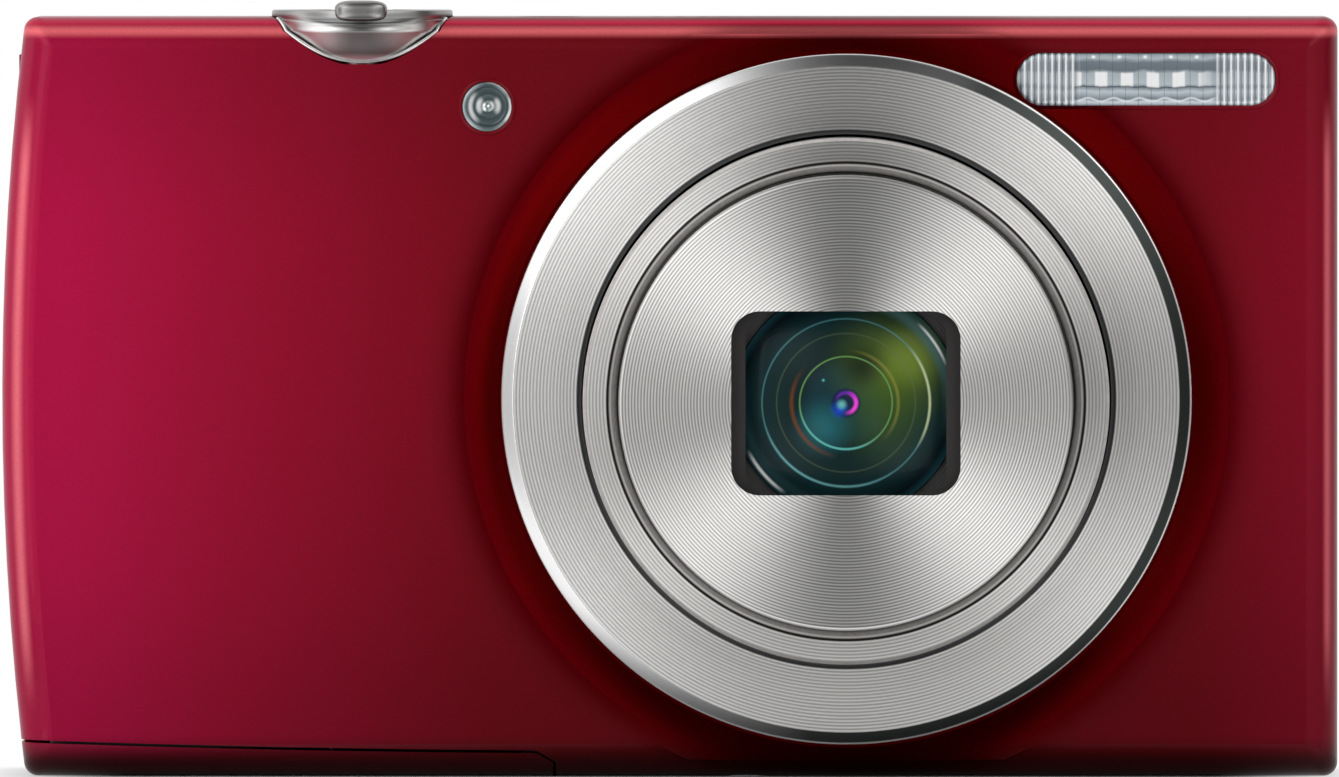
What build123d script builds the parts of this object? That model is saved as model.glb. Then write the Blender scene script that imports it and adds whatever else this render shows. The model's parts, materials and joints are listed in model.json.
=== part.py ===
from build123d import *
from math import cos, radians, sin, sqrt
import os

os.makedirs("parts", exist_ok=True)

# Compact digital camera with its lens run out. Millimetres. +X is to the right of someone
# facing the lens, -Y is the way the lens looks, +Z is up, and the origin is in the middle
# of the base.

# ---------------------------------------------------------------- driving dimensions
# Body shell
body_width = 95.2
body_height = 54.1
body_depth = 17.2
side_bow = 1.67  # how far the left side swells past its corners
corner_round = 1.0
edge_round = 2.3
wall = 1.2
seam_y = 1.0  # where the front and rear covers meet
left_x = -body_width / 2
right_x = body_width / 2
front_y = -body_depth / 2
back_y = body_depth / 2

# Clearances
fit_gap = 0.1  # between pieces set into each other
panel_gap = 0.2  # round doors, flaps and buttons
seat_gap = 0.15  # between a piece and what carries it
turn_gap = 0.05  # radial, round a turning shaft

# Lens
lens_x = right_x - 35.0
lens_z = body_height / 2 - 0.1
pedestal_height = 0.9
pedestal_radius = 28.1
pedestal_trim = 1.2  # how far inside the body's outline the pedestal stops
ring_radius = 24.55
ring_depth = 4.0
ring_bevel = 0.8
ring_bevel_depth = 0.6
ring_lip = 0.5
outer_radius = 18.66
outer_wall = 1.16
outer_length = 12.4
outer_travel = 8.5
outer_face = 1.66  # width of the flat at the front of the outer barrel
cone_depth = 0.8  # depth of the coned band inside that flat
front_radius = 16.05
front_wall = 1.05
front_length = 11.6
front_travel = 8.5
barrel_gap = 0.19  # radial, between sliding barrels
lip_gap = 0.25
cam_wall = 1.15
base_wall = 1.2
base_flare = 25.2
base_plate = 0.8

# Front of the lens
plate_thickness = 1.0
plate_chamfer = 0.2
window_width = 16.2
window_height = 13.0
window_round = 2.0
mask_width = 14.2
blade_thickness = 0.3
blade_gap = 0.1
blade_width = 18.0
blade_height = 4.0
blade_overlap = 0.4  # how far an open blade stands outside the window
glass_radius = 8.0
glass_bulge = 1.5
glass_rim = 2.0
iris_radius = 2.6
iris_thickness = 1.2

# Zoom drive
gear_module = 0.4
cam_teeth = 112
idler_teeth = 30
pinion_teeth = 10
tooth_rise = 0.3
tooth_drop = 0.42
tooth_root = 0.28  # half the tooth's width at its root
tooth_tip = 0.1
mesh_gap = 0.1
gear_width = 1.2
idler_angle = 25.0  # from the lens to the idler gear
pinion_angle = -60.0  # from the idler gear to the pinion
idler_pin = 0.6
motor_radius = 3.5
motor_length = 7.8
motor_shaft = 0.4

# Imaging
rear_glass_radius = 6.0
rear_cell_radius = 9.0
rear_cell_length = 2.0
sensor_width = 8.0
sensor_height = 6.6
sensor_thickness = 0.8
board_thickness = 0.6

# Flash and focusing lamp
flash_x = right_x - 13.66
flash_z = body_height - 4.44
flash_width = 18.5
flash_height = 3.8
flash_depth = 1.3
reflector_depth = 2.5
tube_radius = 0.9
capacitor_x = right_x - 5.6
capacitor_y = -3.4
capacitor_radius = 3.8
capacitor_length = 23.7
lamp_x = left_x + 34.6
lamp_z = body_height - 6.4
lamp_radius = 1.81
lamp_recess = 2.0

# Zoom lever, shutter and power buttons
lever_x = left_x + 25.66
lever_set_back = 4.0  # axis behind the front face
lever_radius = 6.45
lever_rise = 0.5  # rim above the body
lever_straight = 1.0  # straight side below the body's top
bowl_drop = 3.17
bowl_radius = 4.0
shutter_radius = 3.35
shutter_rise = 0.7
shutter_dome = 0.45
shutter_skirt = 1.15
shutter_travel = 0.7
stem_radius = 1.3
nub_width = 3.6
nub_height = 1.5
nub_depth = 1.8
nub_rise = 1.2
top_board_z = body_height - 4.5
power_x = lever_x + 13.44
power_y = -4.0
power_radius = 2.1
power_rise = 0.2
button_travel = 0.3

# Back of the body
screen_z = body_height / 2
screen_width = body_width - 32.9
screen_x = left_x + 29.75 + screen_width / 2
screen_height = body_height - 6.8
screen_thickness = 0.6
screen_set_back = 0.1
panel_width = screen_width - 2.3
panel_height = screen_height - 1.3
panel_thickness = 2.2
pad_x = left_x + 16.1
pad_z = 20.0
pad_radius = 8.7
pad_bore = 4.2
pad_proud = 0.3
pad_underside = 7.3
set_radius = 3.9
rocker_radius = 6.0
rocker_edge = 0.9  # half the width of the edge that the pad rocks on
rocker_thickness = 0.25
rocker_gap = 0.3
key_radius = 2.4
key_flange = 0.4
key_spread = 11.0
upper_key_z = 34.5
lower_key_z = 6.5
key_board_y = 5.8
key_board_base = 3.0
key_board_reach = 12.5
key_margin = 4.1
indicator_x = left_x + 27.7
indicator_z = body_height - 9.1
indicator_radius = 0.7
dot_radius = 0.5
dot_pitch = 3.0
dot_height = 0.25

# Battery, card and boards
battery_height = 40.2
battery_depth = 5.2
battery_left = left_x + 3.4
battery_front = -6.5
battery_base = 2.0
battery_gap = 0.9  # from the lens's base tube
bay_gap = 0.2
bay_wall = 0.4
contact_height = 1.5
card_width = 24.0
card_height = 32.0
card_depth = 2.1
card_left = left_x + 4.8
card_front = 0.0
card_base = 3.5
main_board_y = 3.2
main_board_left = left_x + 7.2
main_board_right = lens_x - 25.8
shield_height = 1.4
shield_margin = 5.0
shield_base = 26.0
main_board_thickness = 0.8
catch_reach = 2.2
catch_width = 1.2
catch_pin = 0.5

# Battery door
door_lip_right = 1.65
door_lip_left = 2.5
hinge_y = 3.9
hinge_radius = 0.9
hinge_pin = 0.4
door_slide = 1.8
spring_room = 5.0  # between the door's two knuckles
knuckle_end_gap = 0.3
lug_length = 1.5
spring_wire = 0.12

# Side fittings
flap_y = 3.9
flap_width = 4.0
flap_base = 15.0
flap_height = 14.0
flap_thickness = 0.9
port_width = 2.7
port_height = 7.6
port_depth = 5.4
port_z = 22.0
strap_y = -2.0
strap_z = body_height - 6.2
strap_recess_width = 5.0
strap_recess_height = 5.4
strap_recess_depth = 3.2
strap_bar_radius = 0.65

# Base and top fittings
tripod_x = lens_x - 7.0
tripod_y = -3.3
tripod_radius = 3.4
tripod_flange = 4.0
tripod_bore = 2.55
tripod_length = 5.3
speaker_x = power_x + 10.0
speaker_width = 8.0
speaker_depth = 5.0
speaker_height = 3.3
sound_hole = 0.4
mic_x = speaker_x + 7.5
mic_radius = 1.5
mic_height = 1.1
sound_y = -4.0
screw_head = 1.2
screw_head_depth = 0.7
screw_shank = 0.6
screw_length = 3.0
boss_wall = 0.9
screw_y = -3.5
base_screw_xs = (right_x - 25.6, right_x - 14.6)
side_screw_zs = (lens_z - 0.25, body_height - 7.1)

# ---------------------------------------------------------------- worked out from them
pedestal_y = front_y - pedestal_height
ring_y = pedestal_y - ring_depth
outer_front = ring_y - outer_travel
front_plate_y = ring_y - outer_travel - front_travel
plate_back = front_plate_y + plate_thickness
inner_blade_y = plate_back + seat_gap
outer_blade_y = inner_blade_y + blade_thickness + blade_gap
mask_y = outer_blade_y + blade_thickness + seat_gap
mask_back = mask_y + 0.8
glass_tip = mask_y + panel_gap
glass_rim_y = glass_tip + glass_bulge
cam_inner = outer_radius + barrel_gap
cam_outer = cam_inner + cam_wall
base_inner = cam_outer + fit_gap
base_outer = base_inner + base_wall
cam_front = ring_y + ring_lip + seat_gap
gear_y = 1.9
base_back = gear_y + gear_width + 0.3
cam_pitch = gear_module * cam_teeth / 2
idler_pitch = gear_module * idler_teeth / 2
pinion_pitch = gear_module * pinion_teeth / 2
idler_reach = cam_pitch + idler_pitch + mesh_gap
idler_x = lens_x + idler_reach * cos(radians(idler_angle))
idler_z = lens_z + idler_reach * sin(radians(idler_angle))
pinion_reach = idler_pitch + pinion_pitch + mesh_gap
pinion_x = idler_x + pinion_reach * cos(radians(pinion_angle))
pinion_z = idler_z + pinion_reach * sin(radians(pinion_angle))
lever_y = front_y + lever_set_back
lever_top = body_height + lever_rise
bowl_bottom = body_height - bowl_drop
shutter_top = body_height + shutter_rise
shutter_under = shutter_top - shutter_dome - shutter_skirt
top_board_top = top_board_z + board_thickness
stem_bottom = top_board_top + shutter_travel + 0.05
key_board_top = key_board_y + board_thickness
key_bottom = key_board_top + button_travel + 0.05
main_board_back = main_board_y + main_board_thickness
main_board_top = body_height - 6.0
battery_right = lens_x - base_outer - battery_gap
battery_top = battery_base + battery_height
catch_x = battery_right + 1.3
catch_y = battery_front + battery_depth / 2 - 0.3
catch_base = wall + panel_gap
bay_top = battery_top + contact_height
hinge_z = hinge_radius
door_right = battery_right + 1.3
knuckle_left = left_x + 6.6
knuckle_length = (door_right - 3.7 - knuckle_left - spring_room) / 2
knuckle_right = knuckle_left + knuckle_length + spring_room
lug_left = knuckle_left - door_slide - lug_length - 0.2
lug_right = knuckle_right + knuckle_length + knuckle_end_gap

lens_plane = Plane(origin=(lens_x, 0, lens_z), x_dir=(1, 0, 0), z_dir=(0, 0, 1))
lens_axis = Axis((lens_x, 0, lens_z), (0, 1, 0))
lever_plane = Plane(origin=(lever_x, lever_y, 0), x_dir=(1, 0, 0), z_dir=(0, -1, 0))
lever_axis = Axis((lever_x, lever_y, 0), (0, 0, 1))


# ---------------------------------------------------------------- helpers
def at_y(y):
    """Upright plane at depth y, seen from the front: its x is +X and its y is +Z."""
    return Plane.XZ.offset(-y)


def block(x, y, z, mode=Mode.ADD):
    """Box between two limits on each axis, in the part being built."""
    with Locations(((x[0] + x[1]) / 2, (y[0] + y[1]) / 2, (z[0] + z[1]) / 2)):
        Box(x[1] - x[0], y[1] - y[0], z[1] - z[0], mode=mode)


def rod_x(x, y, z, radius, mode=Mode.ADD):
    """Cylinder along X between two limits, in the part being built."""
    with Locations(((x[0] + x[1]) / 2, y, z)):
        Cylinder(radius, x[1] - x[0], rotation=(0, 90, 0), mode=mode)


def rod_y(x, y, z, radius, mode=Mode.ADD):
    """Cylinder along Y between two limits, in the part being built."""
    with Locations((x, (y[0] + y[1]) / 2, z)):
        Cylinder(radius, y[1] - y[0], rotation=(90, 0, 0), mode=mode)


def rod_z(x, y, z, radius, mode=Mode.ADD):
    """Cylinder along Z between two limits, in the part being built."""
    with Locations((x, y, (z[0] + z[1]) / 2)):
        Cylinder(radius, z[1] - z[0], mode=mode)


def lens_turning(*points):
    """Solid turned about the lens axis from (radius, y) points."""
    with BuildPart() as turning:
        with BuildSketch(lens_plane):
            with BuildLine():
                Polyline(*points, close=True)
            make_face()
        revolve(axis=lens_axis)
    return turning.part


def lever_turning(*points):
    """Solid turned about the lever's axis from (radius, z) points."""
    with BuildPart() as turning:
        with BuildSketch(lever_plane):
            with BuildLine():
                Polyline(*points, close=True)
            make_face()
        revolve(axis=lever_axis)
    return turning.part


def coil(start, direction, radius, length, turns):
    """Round-wire coil spring."""
    with BuildPart() as spring:
        with BuildLine() as path:
            Helix(length / turns, length, radius, center=start, direction=direction)
        with BuildSketch(Plane(path.line @ 0, z_dir=path.line % 0)):
            Circle(spring_wire)
        sweep(is_frenet=True)
    return spring.part


def body_outline(inset=0.0):
    """Front view of the body with its bowed left side, drawn in by inset."""
    with BuildSketch() as outline:
        with BuildLine():
            Polyline((left_x + side_bow, body_height), (right_x, body_height), (right_x, 0),
                     (left_x + side_bow, 0))
            ThreePointArc((left_x + side_bow, 0), (left_x, body_height / 2), (left_x + side_bow, body_height))
        make_face()
        if inset:
            offset(amount=-inset, kind=Kind.INTERSECTION)
    return outline.sketch


def body_shell():
    """Whole hollow body, before it is parted into covers and door."""
    with BuildPart() as shell:
        with BuildSketch(at_y(back_y)):
            add(body_outline())
        extrude(amount=body_depth)
        fillet(shell.edges().filter_by(Axis.Y), radius=corner_round)
        fillet(shell.faces().sort_by(Axis.Y)[0].edges(), radius=edge_round)
        fillet(shell.faces().sort_by(Axis.Y)[-1].edges(), radius=edge_round)
        with BuildSketch(at_y(back_y - wall)):
            add(body_outline(wall))
        extrude(amount=body_depth - 2 * wall, mode=Mode.SUBTRACT)
    return shell.part


def door_space(gap):
    """Room below the battery door's lip line, grown by gap."""
    left = left_x - 1
    with BuildPart() as space:
        with BuildSketch(at_y(hinge_y - hinge_radius - panel_gap + gap)):
            with BuildLine():
                Polyline((door_right + gap, door_lip_right * 0.6), (door_right + gap, -1), (left, -1),
                         (left, door_lip_left + gap))
                Spline((left, door_lip_left + gap), (left + 14, 2.05 + gap),
                       (door_right - 1.2, door_lip_right + gap))
                Line((door_right - 1.2, door_lip_right + gap), (door_right + gap, door_lip_right * 0.6))
            make_face()
        extrude(amount=body_depth + 2)
    return space.part


def bowl_space(gap):
    """Bowl that holds the zoom lever, grown by gap."""
    side = lever_radius + gap
    straight_z = body_height - lever_straight
    with BuildPart() as space:
        with BuildSketch(lever_plane):
            with BuildLine():
                Polyline((0, bowl_bottom - gap), (0, lever_top + 1), (side, lever_top + 1),
                         (side, straight_z))
                ThreePointArc((side, straight_z), (5.54 + gap, straight_z - 1.05),
                              (bowl_radius + gap, bowl_bottom - gap))
                Line((bowl_radius + gap, bowl_bottom - gap), (0, bowl_bottom - gap))
            make_face()
        revolve(axis=lever_axis)
    return space.part


def gear_wheel(x, z, teeth, phase, y, bore):
    """Spur gear about an axis along Y, with one tooth's middle at the angle phase."""
    pitch_radius = gear_module * teeth / 2
    root = pitch_radius - tooth_drop
    tip = pitch_radius + tooth_rise
    with BuildPart() as gear:
        with BuildSketch(at_y(y[1])):
            with Locations((x, z)):
                Circle(root)
                with PolarLocations(0, teeth, start_angle=phase):
                    Polygon((root - 0.2, -tooth_root), (tip, -tooth_tip), (tip, tooth_tip),
                            (root - 0.2, tooth_root),
                            align=None)
                Circle(bore, mode=Mode.SUBTRACT)
        extrude(amount=y[1] - y[0])
    return gear.part


def dome_middle(radius, rise, tip):
    """Point halfway out along a round dome of the given radius and rise, behind its tip."""
    sphere = (radius**2 + rise**2) / (2 * rise)
    return radius / 2, tip + sphere - sqrt(sphere**2 - radius**2 / 4)


def write(part, name):
    """Labels a finished piece and writes it."""
    part.label = name
    export_step(part, "parts/" + name + ".step")


# ---------------------------------------------------------------- covers
def lens_pedestal():
    """Flared step under the lens ring, trimmed where it meets the body's rounded edges."""
    foot_y = front_y + wall / 2
    top_radius = ring_radius + 0.3
    with BuildPart() as pedestal:
        with BuildSketch(lens_plane):
            with BuildLine():
                Polyline((pedestal_radius, front_y), (pedestal_radius, foot_y), (base_inner, foot_y),
                         (base_inner, pedestal_y), (top_radius, pedestal_y))
                ThreePointArc((top_radius, pedestal_y), (ring_radius + 1.4, front_y - 0.3),
                              (pedestal_radius, front_y))
            make_face()
        revolve(axis=lens_axis)
        with BuildSketch(at_y(front_y + wall)):
            add(body_outline(pedestal_trim))
        extrude(amount=wall + pedestal_height + 1, mode=Mode.INTERSECT)
    return pedestal.part


def front_cover():
    """Front half of the body: lens pedestal, lamp and flash openings, bowl and strap recess."""
    with BuildPart() as front_cover:
        add(body_shell())
        split(bisect_by=at_y(seam_y), keep=Keep.TOP)
        add(lens_pedestal())
        rod_y(lens_x, (pedestal_y - 1, front_y + 2 * wall), lens_z, base_outer + fit_gap, Mode.SUBTRACT)
        with BuildSketch(at_y(front_y + 2 * wall)):
            with Locations((flash_x, flash_z)):
                SlotOverall(flash_width + 2 * panel_gap, flash_height + 2 * panel_gap)
        extrude(amount=3 * wall, mode=Mode.SUBTRACT)
        rod_y(lamp_x, (front_y - 1, front_y + 2 * wall), lamp_z, lamp_recess, Mode.SUBTRACT)
        strap_x = (left_x - 1, left_x + strap_recess_depth)
        strap_ys = (strap_y - strap_recess_width / 2, strap_y + strap_recess_width / 2)
        strap_zs = (strap_z - strap_recess_height / 2, strap_z + strap_recess_height / 2)
        block((left_x + 2 * wall, strap_x[1] + 0.8), (strap_ys[0] - 0.8, seam_y),
              (strap_zs[0] - 0.8, strap_zs[1] + 0.8))
        block((left_x + wall, left_x + 2 * wall + 0.1), (strap_ys[0] - 0.8, seam_y),
              (strap_zs[0] - 0.8, strap_zs[1] + 0.8))
        block(strap_x, strap_ys, strap_zs, Mode.SUBTRACT)
        rod_z(left_x + 1.2, strap_y, (strap_zs[0] - 0.6, strap_zs[1] + 0.6), strap_bar_radius, Mode.SUBTRACT)
        rod_z(power_x, power_y, (body_height - 2 * wall, body_height + 1), power_radius + panel_gap,
              Mode.SUBTRACT)
        with Locations((speaker_x, sound_y, body_height)):
            with GridLocations(1.6, 1.6, 4, 2):
                Cylinder(sound_hole, 4 * wall, mode=Mode.SUBTRACT)
        rod_z(mic_x, sound_y, (body_height - 2 * wall, body_height + 1), sound_hole, Mode.SUBTRACT)
        rod_z(tripod_x, tripod_y, (-1, 2 * wall), tripod_radius + fit_gap, Mode.SUBTRACT)
        for x in base_screw_xs:
            rod_z(x, screw_y, (wall / 2, screw_length + wall / 2), screw_shank + boss_wall)
            rod_z(x, screw_y, (-1, screw_length + wall), screw_shank + fit_gap, Mode.SUBTRACT)
            rod_z(x, screw_y, (-1, screw_head_depth + fit_gap), screw_head + fit_gap, Mode.SUBTRACT)
        for z in side_screw_zs:
            rod_x((right_x - screw_length - wall / 2, right_x - wall / 2), screw_y, z,
                  screw_shank + boss_wall)
            rod_x((right_x - screw_length - wall, right_x + 1), screw_y, z, screw_shank + fit_gap,
                  Mode.SUBTRACT)
            rod_x((right_x - screw_head_depth - fit_gap, right_x + 1), screw_y, z, screw_head + fit_gap,
                  Mode.SUBTRACT)
        add(bowl_space(panel_gap), mode=Mode.SUBTRACT)
        add(door_space(panel_gap), mode=Mode.SUBTRACT)
    write(front_cover.part, "front_cover")


def rear_cover():
    """Rear half of the body: screen opening, key holes, thumb dots, flap opening and hinge lugs."""
    with BuildPart() as rear_cover:
        add(body_shell())
        split(bisect_by=at_y(seam_y), keep=Keep.BOTTOM)
        with BuildSketch(at_y(back_y + 1)):
            with Locations((screen_x, screen_z)):
                RectangleRounded(screen_width + 2 * fit_gap, screen_height + 2 * fit_gap, 1.5)
        extrude(amount=1 + screen_set_back + screen_thickness, mode=Mode.SUBTRACT)
        block((screen_x - panel_width / 2 + 1.5, screen_x + panel_width / 2 - 1.5),
              (back_y - 2 * wall, back_y + 1),
              (screen_z - panel_height / 2 + 1.5, screen_z + panel_height / 2 - 1.5), Mode.SUBTRACT)
        hole_ys = (back_y - 2 * wall, back_y + 1)
        rod_y(pad_x, hole_ys, pad_z, pad_radius + panel_gap, Mode.SUBTRACT)
        for z in (upper_key_z, lower_key_z):
            for side in (-1, 1):
                rod_y(pad_x + side * key_spread / 2, hole_ys, z, key_radius + panel_gap, Mode.SUBTRACT)
        rod_y(indicator_x, hole_ys, indicator_z, indicator_radius + fit_gap, Mode.SUBTRACT)
        with Locations((pad_x - 6, back_y, indicator_z)):
            with GridLocations(dot_pitch, 0, 5, 1):
                for row in (-1, 0, 1):
                    with Locations((0, 0, row * dot_pitch)):
                        Cylinder(dot_radius, 2 * dot_height, rotation=(90, 0, 0))
        flap_ys = (flap_y - flap_width / 2 - panel_gap, flap_y + flap_width / 2 + panel_gap)
        block((left_x - 1, left_x + 2 * wall), flap_ys,
              (flap_base - panel_gap, flap_base + flap_height + panel_gap),
              Mode.SUBTRACT)
        add(bowl_space(panel_gap), mode=Mode.SUBTRACT)
        add(door_space(panel_gap), mode=Mode.SUBTRACT)
        cut_ys = (hinge_y - hinge_radius - 1, hinge_y + hinge_radius + panel_gap)
        cut_zs = (-1, 2 * hinge_radius + panel_gap)
        block((left_x - 1, door_right + panel_gap), (seam_y - 1, hinge_y - 0.6), cut_zs, Mode.SUBTRACT)
        for x in (knuckle_left, knuckle_right):
            block((x - door_slide - panel_gap, x + knuckle_length + panel_gap), cut_ys, cut_zs, Mode.SUBTRACT)
        for x in (lug_left, lug_right):
            block((x, x + lug_length), (hinge_y, hinge_y + hinge_radius + 0.6), (0, 2 * hinge_radius))
            rod_x((x, x + lug_length), hinge_y, hinge_z, hinge_radius)
        block((knuckle_left + knuckle_length + panel_gap, knuckle_right - door_slide - panel_gap), cut_ys,
              cut_zs,
              Mode.SUBTRACT)
        rod_x((lug_left - 1, lug_right + lug_length + 1), hinge_y, hinge_z, hinge_pin + turn_gap,
              Mode.SUBTRACT)
    write(rear_cover.part, "rear_cover")


def battery_door():
    """Door under the battery, with knuckles that turn and slide on the hinge pin."""
    panel_back = hinge_y - hinge_radius - panel_gap
    with BuildPart() as battery_door:
        add(door_space(0))
        add(body_shell(), mode=Mode.INTERSECT)
        for x in (knuckle_left, knuckle_right):
            block((x, x + knuckle_length), (panel_back - 0.2, hinge_y), (0, wall))
            rod_x((x, x + knuckle_length), hinge_y, hinge_z, hinge_radius)
        rod_x((left_x, door_right), hinge_y, hinge_z, hinge_pin + turn_gap, Mode.SUBTRACT)
    write(battery_door.part, "battery_door")


def hinge_parts():
    """Pin and return spring of the battery door."""
    with BuildPart() as door_hinge_pin:
        rod_x((lug_left, lug_right + lug_length), hinge_y, hinge_z, hinge_pin)
    write(door_hinge_pin.part, "door_hinge_pin")
    free = (knuckle_left + knuckle_length, knuckle_right)
    with BuildPart() as door_spring:
        add(coil((free[0] + 0.3, hinge_y, hinge_z), (1, 0, 0), hinge_pin + 0.25, free[1] - free[0] - 0.6, 6))
    write(door_spring.part, "door_spring")


def terminal_cover():
    """Flap over the cable port, hinged at its lower edge."""
    ys = (flap_y - flap_width / 2, flap_y + flap_width / 2)
    with BuildPart() as terminal_cover:
        with BuildSketch(at_y(ys[1])):
            add(body_outline(0.0))
            add(body_outline(flap_thickness), mode=Mode.SUBTRACT)
            with Locations((left_x, flap_base + flap_height / 2)):
                Rectangle(8, flap_height, mode=Mode.INTERSECT)
        extrude(amount=flap_width)
        fillet(terminal_cover.edges().filter_by(Axis.X), radius=0.6)
        block((left_x + flap_thickness, left_x + flap_thickness + 0.9), (flap_y - 0.7, flap_y + 0.7),
              (port_z - 2.8, port_z + 2.8))
    write(terminal_cover.part, "terminal_cover")


def case_screws():
    """Cover screws in the base and the right side, as separate solids."""
    with BuildPart() as case_screws:
        for x in base_screw_xs:
            rod_z(x, screw_y, (fit_gap / 2, screw_head_depth), screw_head)
            rod_z(x, screw_y, (screw_head_depth / 2, screw_length), screw_shank)
            block((x - 0.7, x + 0.7), (screw_y - 0.15, screw_y + 0.15), (-0.1, 0.3), Mode.SUBTRACT)
            block((x - 0.15, x + 0.15), (screw_y - 0.7, screw_y + 0.7), (-0.1, 0.3), Mode.SUBTRACT)
        for z in side_screw_zs:
            rod_x((right_x - screw_head_depth, right_x - fit_gap / 2), screw_y, z, screw_head)
            rod_x((right_x - screw_length, right_x - screw_head_depth / 2), screw_y, z, screw_shank)
            block((right_x - 0.3, right_x + 0.1), (screw_y - 0.15, screw_y + 0.15), (z - 0.7, z + 0.7),
                  Mode.SUBTRACT)
            block((right_x - 0.3, right_x + 0.1), (screw_y - 0.7, screw_y + 0.7), (z - 0.15, z + 0.15),
                  Mode.SUBTRACT)
    write(case_screws.part, "case_screws")


def side_fittings():
    """Strap bar, cable port and tripod bush."""
    half = strap_recess_height / 2 + 0.5
    with BuildPart() as strap_bar:
        rod_z(left_x + 1.2, strap_y, (strap_z - half, strap_z + half), strap_bar_radius - turn_gap)
    write(strap_bar.part, "strap_bar")
    port_x = (left_x + flap_thickness + 0.5, left_x + flap_thickness + 0.5 + port_depth)
    port_ys = (flap_y - port_width / 2, flap_y + port_width / 2)
    port_zs = (port_z - port_height / 2, port_z + port_height / 2)
    with BuildPart() as usb_connector:
        block(port_x, port_ys, port_zs)
        block((port_x[0] - 0.1, port_x[1] - 0.8), (port_ys[0] + 0.3, port_ys[1] - 0.3),
              (port_zs[0] + 0.3, port_zs[1] - 0.3), Mode.SUBTRACT)
        block((port_x[0] + 1.6, port_x[1] - 0.4), (flap_y - 0.25, flap_y + 0.25),
              (port_z - 2.6, port_z + 2.6))
    write(usb_connector.part, "usb_connector")
    with BuildPart() as tripod_bush:
        rod_z(tripod_x, tripod_y, (0, tripod_length), tripod_radius)
        rod_z(tripod_x, tripod_y, (wall, 2 * wall), tripod_flange)
        rod_z(tripod_x, tripod_y, (-1, tripod_length + 1), tripod_bore, Mode.SUBTRACT)
    write(tripod_bush.part, "tripod_bush")


# ---------------------------------------------------------------- top
def zoom_lever():
    """Bowl-shaped zoom lever round the shutter button, with its finger nub in front."""
    seat_z = shutter_under - 1.0
    with BuildPart() as zoom_lever:
        add(bowl_space(0))
        block((lever_x - 10, lever_x + 10), (lever_y - 10, lever_y + 10), (lever_top, lever_top + 3),
              Mode.SUBTRACT)
        fillet(zoom_lever.faces().sort_by(Axis.Z)[-1].edges(), radius=0.4)
        rod_z(lever_x, lever_y, (top_board_top + seat_gap, bowl_bottom + 0.2), 2.6)
        nub_front = lever_y - lever_radius - 0.35
        block((lever_x - nub_width / 2, lever_x + nub_width / 2), (nub_front, nub_front + nub_depth),
              (body_height + nub_rise - nub_height, body_height + nub_rise))
        fillet(zoom_lever.faces().sort_by(Axis.Z)[-1].edges(), radius=0.5)
        rod_z(lever_x, lever_y, (seat_z, lever_top + 1), shutter_radius + panel_gap, Mode.SUBTRACT)
        rod_z(lever_x, lever_y, (top_board_z, lever_top), stem_radius + panel_gap, Mode.SUBTRACT)
    write(zoom_lever.part, "zoom_lever")


def shutter_parts():
    """Domed shutter button on its stem, and the coil spring below it."""
    rim_z = shutter_top - shutter_dome
    middle = (shutter_radius / 2, 2 * shutter_top - dome_middle(shutter_radius, shutter_dome, shutter_top)[1])
    with BuildPart() as shutter_button:
        with BuildSketch(lever_plane):
            with BuildLine():
                Polyline((0, shutter_top), (0, stem_bottom), (stem_radius, stem_bottom),
                         (stem_radius, shutter_under),
                         (shutter_radius, shutter_under), (shutter_radius, rim_z))
                ThreePointArc((shutter_radius, rim_z), middle, (0, shutter_top))
            make_face()
        revolve(axis=lever_axis)
    write(shutter_button.part, "shutter_button")
    with BuildPart() as shutter_spring:
        add(coil((lever_x, lever_y, shutter_under - 1.0 + spring_wire), (0, 0, 1), 2.4, 1.0 - 2 * spring_wire,
                 2))
    write(shutter_spring.part, "shutter_spring")


def top_parts():
    """Power button, switch board, speaker and microphone under the top."""
    with BuildPart() as power_button:
        rod_z(power_x, power_y, (top_board_top + button_travel, body_height + power_rise), power_radius)
        fillet(power_button.faces().sort_by(Axis.Z)[-1].edges(), radius=0.2)
        rod_z(power_x, power_y, (top_board_top + button_travel, body_height - wall - panel_gap),
              power_radius + key_flange)
    write(power_button.part, "power_button")
    with BuildPart() as top_switch_board:
        block((lever_x - 7, power_x + 5.5), (front_y + wall + fit_gap, seam_y), (top_board_z, top_board_top))
    write(top_switch_board.part, "top_switch_board")
    top_z = body_height - wall - panel_gap
    with BuildPart() as speaker:
        block((speaker_x - speaker_width / 2, speaker_x + speaker_width / 2),
              (sound_y - speaker_depth / 2, sound_y + speaker_depth / 2), (top_z - speaker_height, top_z))
        fillet(speaker.edges().filter_by(Axis.Z), radius=1.0)
    write(speaker.part, "speaker")
    with BuildPart() as microphone:
        rod_z(mic_x, sound_y, (top_z - mic_height, top_z), mic_radius)
    write(microphone.part, "microphone")


# ---------------------------------------------------------------- lens
def lens_ring():
    """Fixed bright ring round the lens."""
    with BuildPart() as lens_ring:
        add(lens_turning((cam_inner + 0.3, ring_y), (ring_radius - ring_bevel, ring_y),
                         (ring_radius, ring_y + ring_bevel_depth), (ring_radius, pedestal_y),
                         (base_outer + fit_gap, pedestal_y), (base_outer + fit_gap, ring_y + ring_lip),
                         (cam_inner + 0.3, ring_y + ring_lip)))
    write(lens_ring.part, "lens_ring")


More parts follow.
